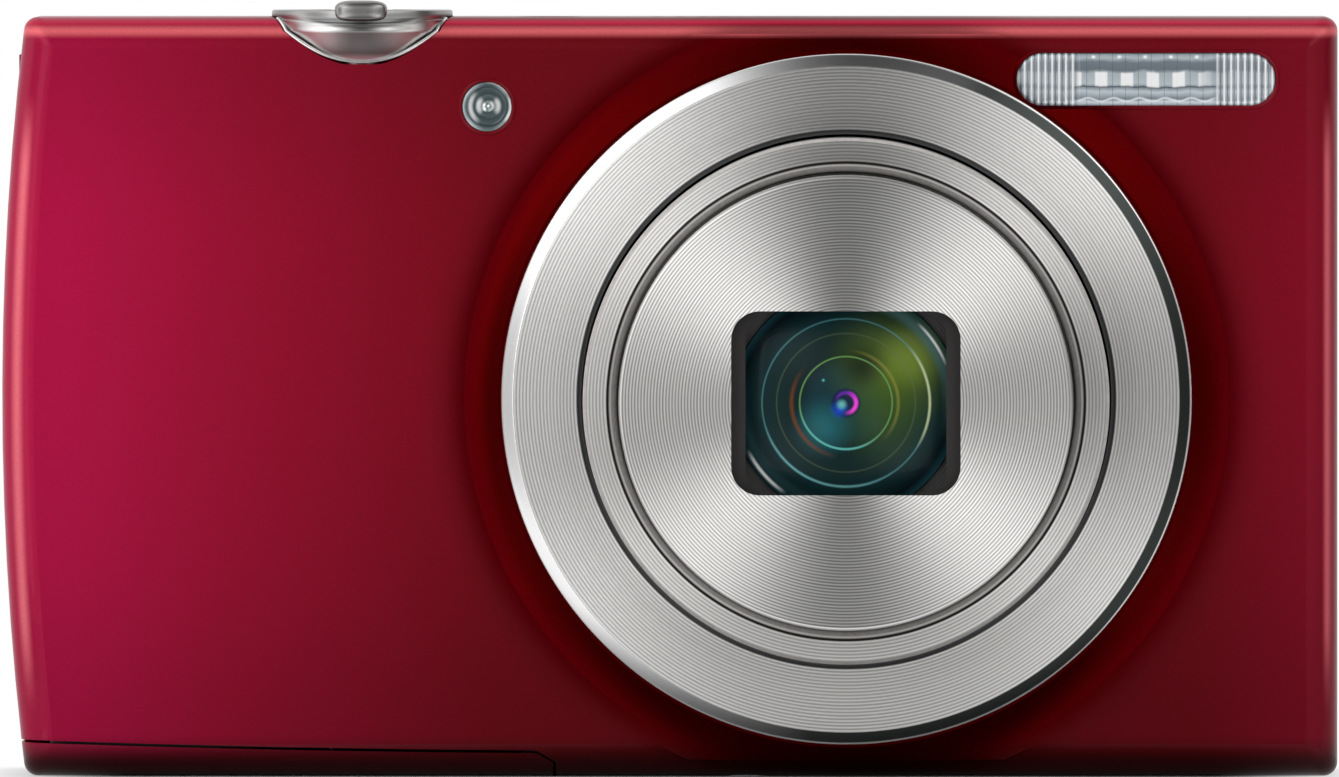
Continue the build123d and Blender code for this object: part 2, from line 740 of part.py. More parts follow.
def lens_base():
    """Fixed tube and rear plate that carry the lens, its drive and the sensor."""
    flare_front = gear_y - 0.4 - base_wall
    with BuildPart() as lens_base:
        add(lens_turning((base_inner, ring_y + ring_lip + seat_gap),
                         (base_outer, ring_y + ring_lip + seat_gap),
                         (base_outer, flare_front), (base_flare, flare_front),
                         (base_flare, base_back + base_plate),
                         (1, base_back + base_plate), (1, base_back), (base_flare - base_wall, base_back),
                         (base_flare - base_wall, gear_y - 0.4), (base_inner, gear_y - 0.4)))
        rod_y(idler_x, (gear_y - 0.4, base_back), idler_z, idler_pitch + tooth_rise + 0.4, Mode.SUBTRACT)
        with BuildSketch(at_y(base_back + base_plate)):
            with Locations((lens_x, lens_z)):
                with PolarLocations(0, 1, start_angle=idler_angle):
                    with Locations((idler_reach / 2, 0)):
                        SlotCenterToCenter(idler_reach, 5)
        extrude(amount=base_plate)
        rod_y(idler_x, (gear_y - 0.6, base_back + 0.2), idler_z, idler_pin)
        add(lens_turning((rear_cell_radius, base_back + 0.2),
                         (rear_cell_radius, base_back - rear_cell_length),
                         (rear_cell_radius - 1.4, base_back - rear_cell_length),
                         (rear_cell_radius - 1.4, base_back + 0.2)))
        rod_y(lens_x, (base_back - 0.5, base_back + 2), lens_z, 5.4, Mode.SUBTRACT)
    write(lens_base.part, "lens_base")


def cam_barrel():
    """Turning barrel that drives the lens out, with its ring gear."""
    with BuildPart() as cam_barrel:
        add(gear_wheel(lens_x, lens_z, cam_teeth, idler_angle, (gear_y, gear_y + gear_width), cam_inner))
        add(lens_turning((cam_inner, cam_front), (cam_outer, cam_front), (cam_outer, gear_y + 0.2),
                         (cam_inner, gear_y + 0.2)))
    write(cam_barrel.part, "cam_barrel")


def outer_barrel():
    """Outer sliding barrel, with a flat front face and a coned band inside it."""
    face_in = outer_radius - outer_face
    lip_in = front_radius + lip_gap
    bore = outer_radius - outer_wall
    with BuildPart() as outer_barrel:
        add(lens_turning((outer_radius - 0.25, outer_front), (outer_radius, outer_front + 0.25),
                         (outer_radius, outer_front + outer_length), (bore, outer_front + outer_length),
                         (bore, outer_front + cone_depth + 0.6), (lip_in, outer_front + cone_depth + 0.6),
                         (lip_in, outer_front + cone_depth), (face_in, outer_front)))
    write(outer_barrel.part, "outer_barrel")


def front_barrel():
    """Inner sliding barrel with the web that seats the front glass."""
    bore = front_radius - front_wall
    back = plate_back + front_length - plate_thickness
    flange = outer_radius - outer_wall - seat_gap
    web_y = glass_rim_y + 0.2
    with BuildPart() as front_barrel:
        add(lens_turning((bore, plate_back), (front_radius, plate_back), (front_radius, back - 1),
                         (flange, back - 1),
                         (flange, back), (bore, back), (bore, web_y + 1),
                         (glass_radius + turn_gap, web_y + 1),
                         (glass_radius + turn_gap, web_y), (bore, web_y)))
    write(front_barrel.part, "front_barrel")


def front_plate():
    """Front disc of the lens with the rectangular window."""
    with BuildPart() as front_plate:
        add(lens_turning((0, front_plate_y), (front_radius - plate_chamfer, front_plate_y),
                         (front_radius, front_plate_y + plate_chamfer), (front_radius, plate_back),
                         (0, plate_back)))
        with BuildSketch(at_y(plate_back + 1)):
            with Locations((lens_x, lens_z)):
                RectangleRounded(window_width, window_height, window_round)
        extrude(amount=plate_thickness + 2, mode=Mode.SUBTRACT)
    write(front_plate.part, "front_plate")


def barrier_blades():
    """Four sliding cover blades, standing open above and below the window."""
    rise = window_height / 2 + blade_overlap
    for layer, y in (("inner", inner_blade_y), ("outer", outer_blade_y)):
        for half, side in (("upper", 1), ("lower", -1)):
            zs = sorted((lens_z + side * rise, lens_z + side * (rise + blade_height)))
            with BuildPart() as blade:
                block((lens_x - blade_width / 2, lens_x + blade_width / 2), (y, y + blade_thickness), zs)
                corners = blade.edges().filter_by(Axis.Y).group_by(Axis.Z)[-1 if side > 0 else 0]
                fillet(corners, radius=1.5)
            write(blade.part, "barrier_blade_" + half + "_" + layer)


def front_optics():
    """Mask behind the blades, front glass and iris."""
    with BuildPart() as lens_retainer:
        rod_y(lens_x, (mask_y, mask_back), lens_z, front_radius - front_wall - turn_gap)
        with BuildSketch(at_y(mask_back + 1)):
            with Locations((lens_x, lens_z)):
                RectangleRounded(mask_width, window_height + 0.6, window_round)
        extrude(amount=mask_back - mask_y + 2, mode=Mode.SUBTRACT)
    write(lens_retainer.part, "lens_retainer")
    rim_y = glass_rim_y
    with BuildPart() as front_lens:
        with BuildSketch(lens_plane):
            with BuildLine():
                Polyline((0, glass_tip), (0, rim_y + glass_rim), (glass_radius, rim_y + glass_rim),
                         (glass_radius, rim_y))
                ThreePointArc((glass_radius, rim_y), dome_middle(glass_radius, glass_bulge, glass_tip),
                              (0, glass_tip))
            make_face()
        revolve(axis=lens_axis)
    write(front_lens.part, "front_lens")
    iris_y = rim_y + glass_rim + 2.0
    with BuildPart() as iris_unit:
        rod_y(lens_x, (iris_y, iris_y + iris_thickness), lens_z, front_radius - front_wall - turn_gap)
        rod_y(lens_x, (iris_y - 1, iris_y + iris_thickness + 1), lens_z, iris_radius, Mode.SUBTRACT)
    write(iris_unit.part, "iris_unit")


def rear_optics():
    """Rear lens group, image sensor and its board."""
    cell_back = base_back - rear_cell_length
    with BuildPart() as rear_lens_group:
        rod_y(lens_x, (cell_back - rear_cell_length, cell_back), lens_z, rear_cell_radius)
        rod_y(lens_x, (cell_back - rear_cell_length - 0.1, cell_back - rear_cell_length + 0.6), lens_z,
              rear_glass_radius, Mode.SUBTRACT)
    write(rear_lens_group.part, "rear_lens_group")
    sensor_back = base_back + base_plate
    with BuildPart() as image_sensor:
        block((lens_x - sensor_width / 2, lens_x + sensor_width / 2),
              (sensor_back - sensor_thickness, sensor_back),
              (lens_z - sensor_height / 2, lens_z + sensor_height / 2))
    write(image_sensor.part, "image_sensor")
    with BuildPart() as sensor_board:
        block((lens_x - 10, lens_x + 10), (sensor_back, sensor_back + board_thickness),
              (lens_z - 8, lens_z + 8))
    write(sensor_board.part, "sensor_board")


def zoom_drive():
    """Idler gear, motor pinion on its shaft, and the zoom motor."""
    gear_ys = (gear_y, gear_y + gear_width)
    idler_pitch_angle = 360 / idler_teeth
    idler_phase = idler_angle + 180 - idler_pitch_angle / 2
    with BuildPart() as reduction_gear:
        add(gear_wheel(idler_x, idler_z, idler_teeth, idler_phase, gear_ys, idler_pin + turn_gap))
    write(reduction_gear.part, "reduction_gear")
    share = ((pinion_angle - idler_phase) % idler_pitch_angle) / idler_pitch_angle
    pinion_phase = pinion_angle + 180 + (share - 0.5) * 360 / pinion_teeth
    motor_back = gear_y - 0.7
    with BuildPart() as motor_pinion:
        add(gear_wheel(pinion_x, pinion_z, pinion_teeth, pinion_phase, gear_ys, motor_shaft / 2))
        rod_y(pinion_x, (motor_back - 3, gear_ys[1]), pinion_z, motor_shaft)
    write(motor_pinion.part, "motor_pinion")
    with BuildPart() as zoom_motor:
        rod_y(pinion_x, (motor_back - motor_length, motor_back), pinion_z, motor_radius)
        rod_y(pinion_x, (motor_back - 3.5, motor_back + 1), pinion_z, motor_shaft + turn_gap, Mode.SUBTRACT)
    write(zoom_motor.part, "zoom_motor")


# ---------------------------------------------------------------- flash and lamp
def flash_parts():
    """Flash window, reflector, tube and capacitor, and the focusing lamp's window."""
    window_back = front_y - 0.1 + flash_depth
    with BuildPart() as flash_window:
        with BuildSketch(at_y(window_back)):
            with Locations((flash_x, flash_z)):
                SlotOverall(flash_width, flash_height)
        extrude(amount=flash_depth)
    write(flash_window.part, "flash_window")
    reflector_ys = (window_back + fit_gap, window_back + fit_gap + reflector_depth)
    half = flash_width / 2 - 0.6
    with BuildPart() as flash_reflector:
        block((flash_x - half, flash_x + half), reflector_ys, (flash_z - 2.0, flash_z + 2.0))
        with BuildSketch(at_y(reflector_ys[0])):
            with Locations((flash_x, flash_z)):
                Rectangle(2 * half - 1.0, 3.2)
        extrude(amount=-(reflector_depth - 0.5), taper=12, mode=Mode.SUBTRACT)
    write(flash_reflector.part, "flash_reflector")
    with BuildPart() as flash_tube:
        rod_x((flash_x - half + 1.2, flash_x + half - 1.2), reflector_ys[1] - 0.5 - tube_radius, flash_z,
              tube_radius)
    write(flash_tube.part, "flash_tube")
    with BuildPart() as flash_capacitor:
        rod_z(capacitor_x, capacitor_y, (wall + fit_gap, wall + fit_gap + capacitor_length), capacitor_radius)
        fillet(flash_capacitor.edges(), radius=0.4)
    write(flash_capacitor.part, "flash_capacitor")
    with BuildPart() as af_lamp_window:
        rod_y(lamp_x, (front_y - 0.05, front_y + wall + 0.3), lamp_z, lamp_radius)
        fillet(af_lamp_window.faces().sort_by(Axis.Y)[0].edges(), radius=0.3)
    write(af_lamp_window.part, "af_lamp_window")


# ---------------------------------------------------------------- back
def screen_parts():
    """Screen window, display panel and status lamp."""
    window_ys = (back_y - screen_set_back - screen_thickness, back_y - screen_set_back)
    with BuildPart() as lcd_window:
        with BuildSketch(at_y(window_ys[1])):
            with Locations((screen_x, screen_z)):
                RectangleRounded(screen_width, screen_height, 1.4)
        extrude(amount=screen_thickness)
    write(lcd_window.part, "lcd_window")
    with BuildPart() as lcd_panel:
        block((screen_x - panel_width / 2, screen_x + panel_width / 2),
              (back_y - wall - panel_thickness, back_y - wall),
              (screen_z - panel_height / 2, screen_z + panel_height / 2))
    write(lcd_panel.part, "lcd_panel")
    with BuildPart() as indicator_lamp:
        rod_y(indicator_x, (back_y - wall - 0.4, back_y + 0.05), indicator_z, indicator_radius)
    write(indicator_lamp.part, "indicator_lamp")


def control_parts():
    """Four-way control pad on its actuator, and the set button in its middle."""
    with BuildPart() as control_pad:
        rod_y(pad_x, (pad_underside, back_y + pad_proud), pad_z, pad_radius)
        fillet(control_pad.faces().sort_by(Axis.Y)[-1].edges(), radius=0.5)
        rod_y(pad_x, (pad_underside - 1, back_y + 1), pad_z, pad_bore, Mode.SUBTRACT)
    write(control_pad.part, "control_pad")
    rocker_back = key_board_top + rocker_gap
    with BuildPart() as pad_actuator:
        rod_y(pad_x, (rocker_back, rocker_back + rocker_thickness), pad_z, rocker_radius)
        block((pad_x - rocker_edge, pad_x + rocker_edge), (rocker_back, pad_underside - turn_gap),
              (pad_z - rocker_radius, pad_z + rocker_radius))
        rod_y(pad_x, (key_board_top, back_y), pad_z, pad_bore, Mode.SUBTRACT)
    write(pad_actuator.part, "pad_actuator")
    with BuildPart() as set_button:
        rod_y(pad_x, (key_bottom, back_y + pad_proud - 0.1), pad_z, set_radius)
        fillet(set_button.faces().sort_by(Axis.Y)[-1].edges(), radius=0.3)
    write(set_button.part, "set_button")


def keys():
    """Four small round keys above and below the control pad."""
    places = {
        "movie_button": (key_spread / 2, upper_key_z),
        "playback_button": (-key_spread / 2, upper_key_z),
        "menu_button": (-key_spread / 2, lower_key_z),
        "auto_button": (key_spread / 2, lower_key_z),
    }
    for name, (dx, z) in places.items():
        with BuildPart() as key:
            rod_y(pad_x + dx, (key_bottom, back_y + pad_proud), z, key_radius)
            fillet(key.faces().sort_by(Axis.Y)[-1].edges(), radius=0.3)
            rod_y(pad_x + dx, (key_bottom, back_y - wall - fit_gap), z, key_radius + key_flange)
        write(key.part, name)


# ---------------------------------------------------------------- inside
def chassis():
    """Thin metal battery bay, open at the base."""
    xs = (battery_left - bay_gap - bay_wall, battery_right + bay_gap + bay_wall)
    ys = (battery_front - bay_gap - bay_wall, battery_front + battery_depth + bay_gap + bay_wall)
    zs = (battery_base + 1.0, bay_top + bay_wall)
    with BuildPart() as chassis:
        block(xs, ys, zs)
        block((xs[0] + bay_wall, xs[1] - bay_wall), (ys[0] + bay_wall, ys[1] - bay_wall),
              (zs[0] - 1, bay_top),
              Mode.SUBTRACT)
    write(chassis.part, "chassis")


def power_parts():
    """Battery, its contacts and its catch."""
    ys = (battery_front, battery_front + battery_depth)
    with BuildPart() as battery_pack:
        block((battery_left, battery_right), ys, (battery_base, battery_top))
        fillet(battery_pack.edges().filter_by(Axis.Z), radius=1.0)
    write(battery_pack.part, "battery_pack")
    with BuildPart() as battery_contacts:
        block((battery_right - 12, battery_right - 3), (ys[0] + 1.2, ys[1] - 1.2),
              (battery_top + fit_gap, bay_top - 0.05))
    write(battery_contacts.part, "battery_contacts")
    with BuildPart() as battery_catch:
        rod_z(catch_x, catch_y, (catch_base, battery_base + 0.7), catch_pin)
        block((catch_x - catch_reach, catch_x), (catch_y - catch_width / 2, catch_y + catch_width / 2),
              (catch_base, battery_base - fit_gap))
    write(battery_catch.part, "battery_catch")


def card_parts():
    """Memory card in its slot."""
    xs = (card_left, card_left + card_width)
    ys = (card_front, card_front + card_depth)
    with BuildPart() as memory_card:
        block(xs, ys, (card_base, card_base + card_height))
        chamfer(memory_card.edges().filter_by(Axis.Y).group_by(Axis.Z)[-1].sort_by(Axis.X)[-1], length=3.5)
    write(memory_card.part, "memory_card")
    slot_wall = 0.35
    with BuildPart() as card_slot:
        block((xs[0] - fit_gap - slot_wall, xs[1] + fit_gap + slot_wall),
              (ys[0] - fit_gap - slot_wall, ys[1] + fit_gap + slot_wall),
              (card_base + 0.5, card_base + card_height + 1.0))
        block((xs[0] - fit_gap, xs[1] + fit_gap), (ys[0] - fit_gap, ys[1] + fit_gap),
              (card_base, card_base + card_height + 0.5), Mode.SUBTRACT)
    write(card_slot.part, "card_slot")


def boards():
    """Main board with its shield can, and the key board."""
    with BuildPart() as main_board:
        block((main_board_left, main_board_right), (main_board_y, main_board_back),
              (wall + 1.3, main_board_top))
    write(main_board.part, "main_board")
    with BuildPart() as processor_shield:
        block((main_board_left + shield_margin, main_board_right - shield_margin - 1.2),
              (main_board_back, main_board_back + shield_height), (shield_base, main_board_top - 4.1))
        fillet(processor_shield.edges().filter_by(Axis.Y), radius=0.5)
    write(processor_shield.part, "processor_shield")
    with BuildPart() as key_board:
        block((left_x + side_bow + wall + panel_gap, pad_x + key_board_reach), (key_board_y, key_board_top),
              (key_board_base, upper_key_z + key_radius + key_margin))
    write(key_board.part, "key_board")


# ---------------------------------------------------------------- build everything
front_cover()
rear_cover()
battery_door()
hinge_parts()
terminal_cover()
case_screws()
side_fittings()
zoom_lever()
shutter_parts()
top_parts()
lens_ring()
lens_base()
cam_barrel()
outer_barrel()
front_barrel()
front_plate()
barrier_blades()
front_optics()
rear_optics()
zoom_drive()
flash_parts()
screen_parts()
control_parts()
keys()
chassis()
power_parts()
card_parts()
boards()
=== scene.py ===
import json
import math

import bpy
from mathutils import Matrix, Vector


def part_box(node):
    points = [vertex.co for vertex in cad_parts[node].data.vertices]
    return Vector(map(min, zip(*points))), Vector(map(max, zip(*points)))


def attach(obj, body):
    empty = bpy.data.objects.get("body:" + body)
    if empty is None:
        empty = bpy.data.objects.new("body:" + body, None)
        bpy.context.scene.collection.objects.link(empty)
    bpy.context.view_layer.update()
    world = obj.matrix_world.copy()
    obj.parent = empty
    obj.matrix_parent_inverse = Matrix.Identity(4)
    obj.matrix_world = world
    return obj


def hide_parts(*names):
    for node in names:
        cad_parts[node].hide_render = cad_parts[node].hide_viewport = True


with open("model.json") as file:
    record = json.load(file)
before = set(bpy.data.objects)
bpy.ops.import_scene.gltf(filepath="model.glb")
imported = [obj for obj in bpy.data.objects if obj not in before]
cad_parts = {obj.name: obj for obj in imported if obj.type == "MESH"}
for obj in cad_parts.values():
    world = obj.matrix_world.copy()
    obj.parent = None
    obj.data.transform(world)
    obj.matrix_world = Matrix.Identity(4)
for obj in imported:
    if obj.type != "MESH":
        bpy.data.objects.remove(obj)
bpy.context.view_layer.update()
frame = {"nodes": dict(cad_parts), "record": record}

MM = 0.001


# ---------------------------------------------------------------- places, from the frame
def middle(node):
    """Centre of a CAD node's box."""
    low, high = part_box(node)
    return (low + high) / 2


def radius_of(node):
    """Half the width of a round CAD node."""
    low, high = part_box(node)
    return (high.x - low.x) / 2


LENS = middle("lens_ring")
LEVER = middle("shutter_button")
SHELL_LOW, SHELL_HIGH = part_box("front_cover")
FACE_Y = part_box("battery_door")[0].y  # the flat front of the body
TOP_Z = SHELL_HIGH.z
EDGE = 2.3 * MM  # rounding of the body's edges


# ---------------------------------------------------------------- meshes
def piece(name, verts, faces, material, body, slot, replaced=(), sharp=30.0):
    """Makes a mesh piece that rides on a body and takes the place of CAD nodes."""
    mesh = bpy.data.meshes.new(name)
    mesh.from_pydata([tuple(v) for v in verts], [], faces)
    mesh.validate()
    mesh.materials.append(material)
    mesh.shade_smooth()
    mesh.set_sharp_from_angle(angle=math.radians(sharp))
    made = bpy.data.objects.new(name, mesh)
    bpy.context.scene.collection.objects.link(made)
    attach(made, body)
    if replaced:
        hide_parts(*replaced)
    return made


def join(*shapes):
    """Puts several (vertices, faces) together."""
    verts, faces = [], []
    for some_verts, some_faces in shapes:
        start = len(verts)
        verts += some_verts
        faces += [tuple(i + start for i in face) for face in some_faces]
    return verts, faces


def on_axis(centre, axis, u, v, height):
    """Point at (u, v) across the axis through centre, at a height along it."""
    if axis == "Y":
        return Vector((centre.x + u, height, centre.z + v))
    return Vector((centre.x + u, centre.y + v, height))


def lathe(profile, centre, axis="Y", steps=192, shift=None):
    """A closed profile of (radius, height) points turned about Y or Z; shift moves a point along the axis."""
    verts, rings = [], []
    for radius, height in profile:
        if radius < 1e-7:
            rings.append([len(verts)])
            verts.append(on_axis(centre, axis, 0.0, 0.0, height))
            continue
        rings.append(list(range(len(verts), len(verts) + steps)))
        for k in range(steps):
            angle = 2 * math.pi * k / steps
            lift = shift(angle, radius, height) if shift else 0.0
            u, v = radius * math.cos(angle), radius * math.sin(angle)
            verts.append(on_axis(centre, axis, u, v, height + lift))
    faces = []
    for a, b in zip(rings, rings[1:] + rings[:1]):
        for k in range(steps):
            m = (k + 1) % steps
            if len(a) == 1 and len(b) == 1:
                break
            if len(a) == 1:
                faces.append((a[0], b[k], b[m]))
            elif len(b) == 1:
                faces.append((a[k], b[0], a[m]))
            else:
                faces.append((a[k], b[k], b[m], a[m]))
    return verts, faces


def tube(path, radius, sides=12):
    """Round rod of a radius along a path of points."""
    verts, faces = [], []
    for i, point in enumerate(path):
        ahead = (path[min(i + 1, len(path) - 1)] - path[max(i - 1, 0)]).normalized()
        across = ahead.cross(Vector((0, 1, 0))).normalized()
        up = across.cross(ahead)
        for k in range(sides):
            angle = 2 * math.pi * k / sides
            verts.append(point + radius * (math.cos(angle) * across + math.sin(angle) * up))
    for i in range(len(path) - 1):
        for k in range(sides):
            m = (k + 1) % sides
            faces.append((i * sides + k, i * sides + m, (i + 1) * sides + m, (i + 1) * sides + k))
    faces += [tuple(range(sides))[::-1], tuple(range((len(path) - 1) * sides, len(path) * sides))]
    return verts, faces


def dome(radius, rise, tip, steps=16):
    """Profile of a dome from its rim to its tip, with heights falling toward the tip."""
    sphere = (radius**2 + rise**2) / (2 * rise)
    rows = [radius * (1 - k / steps) for k in range(steps + 1)]
    return [(r, tip + sphere - math.sqrt(sphere**2 - r**2)) for r in rows]


# ---------------------------------------------------------------- node graphs
class Graph:
    """Short ways to add nodes to a material's or the world's tree."""

    def __init__(self, tree):
        self.tree = tree

    def node(self, kind, **settings):
        """New node with its settings."""
        made = self.tree.nodes.new(kind)
        for key, value in settings.items():
            setattr(made, key, value)
        return made

    def fill(self, socket, value):
        """Gives a socket a number, a colour or the output of another node."""
        if isinstance(value, (int, float)):
            socket.default_value = value
        elif isinstance(value, tuple):
            socket.default_value = (*value, 1) if socket.type == "RGBA" else value
        elif value is not None:
            self.tree.links.new(value, socket)

    def math(self, operation, a, b=None, c=None):
        """Math node of up to three values."""
        made = self.node("ShaderNodeMath", operation=operation)
        for socket, value in zip(made.inputs, (a, b, c)):
            self.fill(socket, value)
        return made.outputs[0]

    def times(self, a, b):
        return self.math("MULTIPLY", a, b)

    def over(self, a, b):
        return self.math("DIVIDE", a, b)

    def plus(self, a, b):
        return self.math("ADD", a, b)

    def minus(self, a, b):
        return self.math("SUBTRACT", a, b)

    def larger(self, a, b):
        return self.math("MAXIMUM", a, b)

    def size(self, a):
        return self.math("ABSOLUTE", a)

    def scaled(self, a, factor, added):
        """A value times a factor, with another value added."""
        return self.math("MULTIPLY_ADD", a, factor, added)

    def length(self, u, v):
        """Distance of the point (u, v) from zero."""
        return self.math("SQRT", self.plus(self.times(u, u), self.times(v, v)))

    def smooth(self, source, low, high, bottom=0.0, top=1.0):
        """Smooth step from bottom at low to top at high."""
        made = self.node("ShaderNodeMapRange", interpolation_type="SMOOTHSTEP")
        if low > high:
            low, high, bottom, top = high, low, top, bottom
        for socket, value in zip(made.inputs, (source, low, high, bottom, top)):
            self.fill(socket, value)
        return made.outputs[0]

    def band(self, source, centre, width):
        """Soft bump of 1 at centre that reaches 0 at width from it."""
        away = self.size(self.minus(source, centre))
        return self.smooth(away, 0.0, width, 1.0, 0.0)

    def ramp(self, source, *stops):
        """Colour ramp through (position, colour) stops."""
        made = self.node("ShaderNodeValToRGB")
        elements = made.color_ramp.elements
        while len(elements) < len(stops):
            elements.new(0.5)
        for element, (position, colour) in zip(elements, stops):
            element.position = position
            element.color = (*colour, 1)
        self.fill(made.inputs["Fac"], source)
        return made.outputs["Color"]

    def mix(self, factor, a, b):
        """Colour a where the factor is 0 and b where it is 1."""
        made = self.node("ShaderNodeMix", data_type="RGBA", clamp_factor=True)
        for socket, value in zip((made.inputs[0], made.inputs[6], made.inputs[7]), (factor, a, b)):
            self.fill(socket, value)
        return made.outputs[2]

    def split(self, source):
        """The three parts of a vector."""
        made = self.node("ShaderNodeSeparateXYZ")
        self.fill(made.inputs[0], source)
        return made.outputs


class Shader(Graph):
    """Material with a Principled shader, whose sockets are set by name."""

    def __init__(self, name, **sockets):
        self.material = bpy.data.materials.new(name)
        self.material.use_nodes = True
        super().__init__(self.material.node_tree)
        self.surface = self.tree.nodes["Principled BSDF"]
        for key, value in sockets.items():
            self.surface.inputs[key.replace("_", " ")].default_value = value

    def put(self, key, source):
        """Feeds a socket of the Principled shader."""
        self.fill(self.surface.inputs[key], source)

    def place(self):
        """Object coordinates, in metres."""
        return self.node("ShaderNodeTexCoord").outputs["Object"]

    def noise(self, scale, detail=3.0):
        """Cloudy value, with a scale in clouds to the metre."""
        made = self.node("ShaderNodeTexNoise")
        made.inputs["Scale"].default_value = scale
        made.inputs["Detail"].default_value = detail
        self.fill(made.inputs["Vector"], self.place())
        return made.outputs["Fac"]

    def bump(self, source, strength, distance):
        """Fine relief, with its depth in metres."""
        made = self.node("ShaderNodeBump")
        made.inputs["Strength"].default_value = strength
        made.inputs["Distance"].default_value = distance
        self.fill(made.inputs["Height"], source)
        self.put("Normal", made.outputs["Normal"])

    def offset(self, centre, axes):
        """Distances in mm from a centre along two axes, such as "XZ"."""
        along = self.split(self.place())
        return [self.times(self.minus(along[a], getattr(centre, a.lower())), 1 / MM) for a in axes]

    def polar(self, centre):
        """Radius in mm and angle in degrees about Y through a centre, and the two distances."""
        u, v = self.offset(centre, "XZ")
        return self.length(u, v), self.math("DEGREES", self.math("ARCTAN2", v, u)), u, v

    def glint(self, radius, angle, ring, width, facing, spread):
        """Part of a ring, brightest where it faces one angle."""
        turned = self.math("COSINE", self.math("RADIANS", self.minus(angle, facing)))
        lit = self.smooth(turned, math.cos(math.radians(spread)), 1.0)
        return self.times(self.band(radius, ring, width), lit)

    def spot(self, u, v, x, z, reach):
        """Soft round spot about the point (x, z)."""
        return self.smooth(self.length(self.minus(u, x), self.minus(v, z)), 0.0, reach, 1.0, 0.0)


def display(*levels):
    """Linear colour from display values of 0 to 255."""
    return tuple(((c / 255 + 0.055) / 1.055) ** 2.4 if c > 10 else c / 255 / 12.92 for c in levels)


# ---------------------------------------------------------------- finishes
def red_paint():
    """Metallic lacquer, crimson at the ends of the body, with painted shade toward the lens, above and below
    it and at the foot, and painted highlights along the top and side edges.
    """
    s = Shader("red_paint", Roughness=0.36, Specular_IOR_Level=0.1, Coat_Roughness=0.03, Coat_IOR=1.32)
    reach, _, u, v = s.polar(LENS)
    across, high = s.offset(Vector((0, 0, 0)), "XZ")
    top, left_side, right_side = SHELL_HIGH.z / MM, SHELL_LOW.x / MM, SHELL_HIGH.x / MM
    far = 60.0  # mm to the side of the lens where the ramp ends
    # painted light and shade: the crimson is lighter far to the sides of the lens and darker toward it
    shade = s.ramp(s.over(s.size(u), far), (0.0, display(112, 0, 14)), (0.42, display(119, 1, 20)),
                   (0.54, display(132, 3, 32)), (0.72, display(153, 7, 46)), (0.92, display(178, 12, 66)))
    # painted shade above and below the lens, round the lens and at the foot of the body
    shade_above_below = s.plus(s.smooth(v, 10.0, 27.0, 0.0, 0.26), s.smooth(v, -10.0, -27.0, 0.0, 0.16))
    shade = s.mix(shade_above_below, shade, display(66, 0, 2))
    shade_round_lens, shade_at_foot = s.smooth(reach, 30.5, 25.5), s.smooth(high, 3.2, 0.8)
    shade = s.mix(shade_round_lens, shade, display(74, 0, 1))
    shade = s.mix(shade_at_foot, shade, display(54, 0, 1))
    # painted highlight along the top edge, and a lighter crimson painted along the top rim
    top_highlight = s.times(s.band(high, top - 1.0, 0.6), 0.75)
    shade = s.mix(top_highlight, shade, display(246, 116, 122))
    shade = s.mix(s.band(high, top - 0.4, 0.35), shade, display(190, 18, 62))
    # painted highlights down the side edges: the left edge bows outward at mid height, and its painted
    # highlight follows it
    bulge = s.times(s.math("POWER", s.minus(high, top / 2), 2.0), 0.0021)
    left = s.band(s.minus(across, bulge), left_side + 1.1, 0.55)
    right = s.band(across, right_side - 0.75, 0.4)
    upright = s.times(s.smooth(high, 4.0, 12.0), s.smooth(high, 49.0, 43.0))
    beside = s.times(s.larger(left, s.times(right, 0.8)), upright)
    shade = s.mix(s.times(beside, 0.9), shade, display(246, 118, 132))
    flakes = s.smooth(s.noise(6000, 1.0), 0.3, 0.7)
    s.put("Base Color", s.mix(flakes, s.mix(0.08, shade, (0, 0, 0)), shade))
    s.put("Metallic", s.smooth(reach, 29.0, 27.0, 0.18, 0.95))
    s.put("Coat Weight", s.smooth(reach, 27.5, 30.5, 0.0, 0.24))
    s.bump(s.noise(1300, 2.0), 0.04, 0.00002)
    return s.material


def spun_metal(name, tone, roughness, groove=0.24, core=0.0):
    """Metal turned on a lathe, with a groove pitch in mm, and dark inside a core radius in mm."""
    s = Shader(name, Metallic=1.0, Anisotropic=0.92, Anisotropic_Rotation=0.25, Roughness=roughness)
    radius = s.polar(LENS)[0]
    s.put("Tangent", s.node("ShaderNodeTangent", direction_type="RADIAL", axis="Y").outputs[0])
    wave = s.math("SINE", s.times(radius, 2 * math.pi / groove))
    rings = s.node("ShaderNodeTexNoise", noise_dimensions="1D")
    rings.inputs["Scale"].default_value = 7.0
    rings.inputs["Detail"].default_value = 2.0
    s.fill(rings.inputs["W"], radius)
    uneven = rings.outputs["Fac"]
    s.bump(s.plus(s.times(wave, 0.5), uneven), 0.4, 0.000012)
    shade = s.scaled(wave, 0.24, tone)
    shade = s.plus(shade, s.scaled(uneven, 0.2, -0.1))
    grey = s.node("ShaderNodeCombineColor")
    for channel, factor in (("Red", 1.0), ("Green", 0.985), ("Blue", 0.965)):
        s.fill(grey.inputs[channel], s.times(shade, factor))
    metal = grey.outputs[0]
    if core:
        outside = s.smooth(radius, core - 0.02, core + 0.02)
        metal = s.mix(outside, (0.008, 0.007, 0.006), metal)
        s.put("Metallic", outside)
    s.put("Base Color", metal)
    return s.material


def plain_metal(name, colour, roughness, grain=0.06):
    """Metal with faint clouds in its colour and gloss."""
    s = Shader(name, Metallic=1.0)
    cloud = s.noise(900, 4.0)
    s.put("Base Color", s.mix(cloud, tuple(c * (1 - grain) for c in colour), colour))
    s.put("Roughness", s.scaled(cloud, 0.08, roughness - 0.04))
    s.bump(s.noise(5000, 2.0), 0.03, 0.00001)
    return s.material


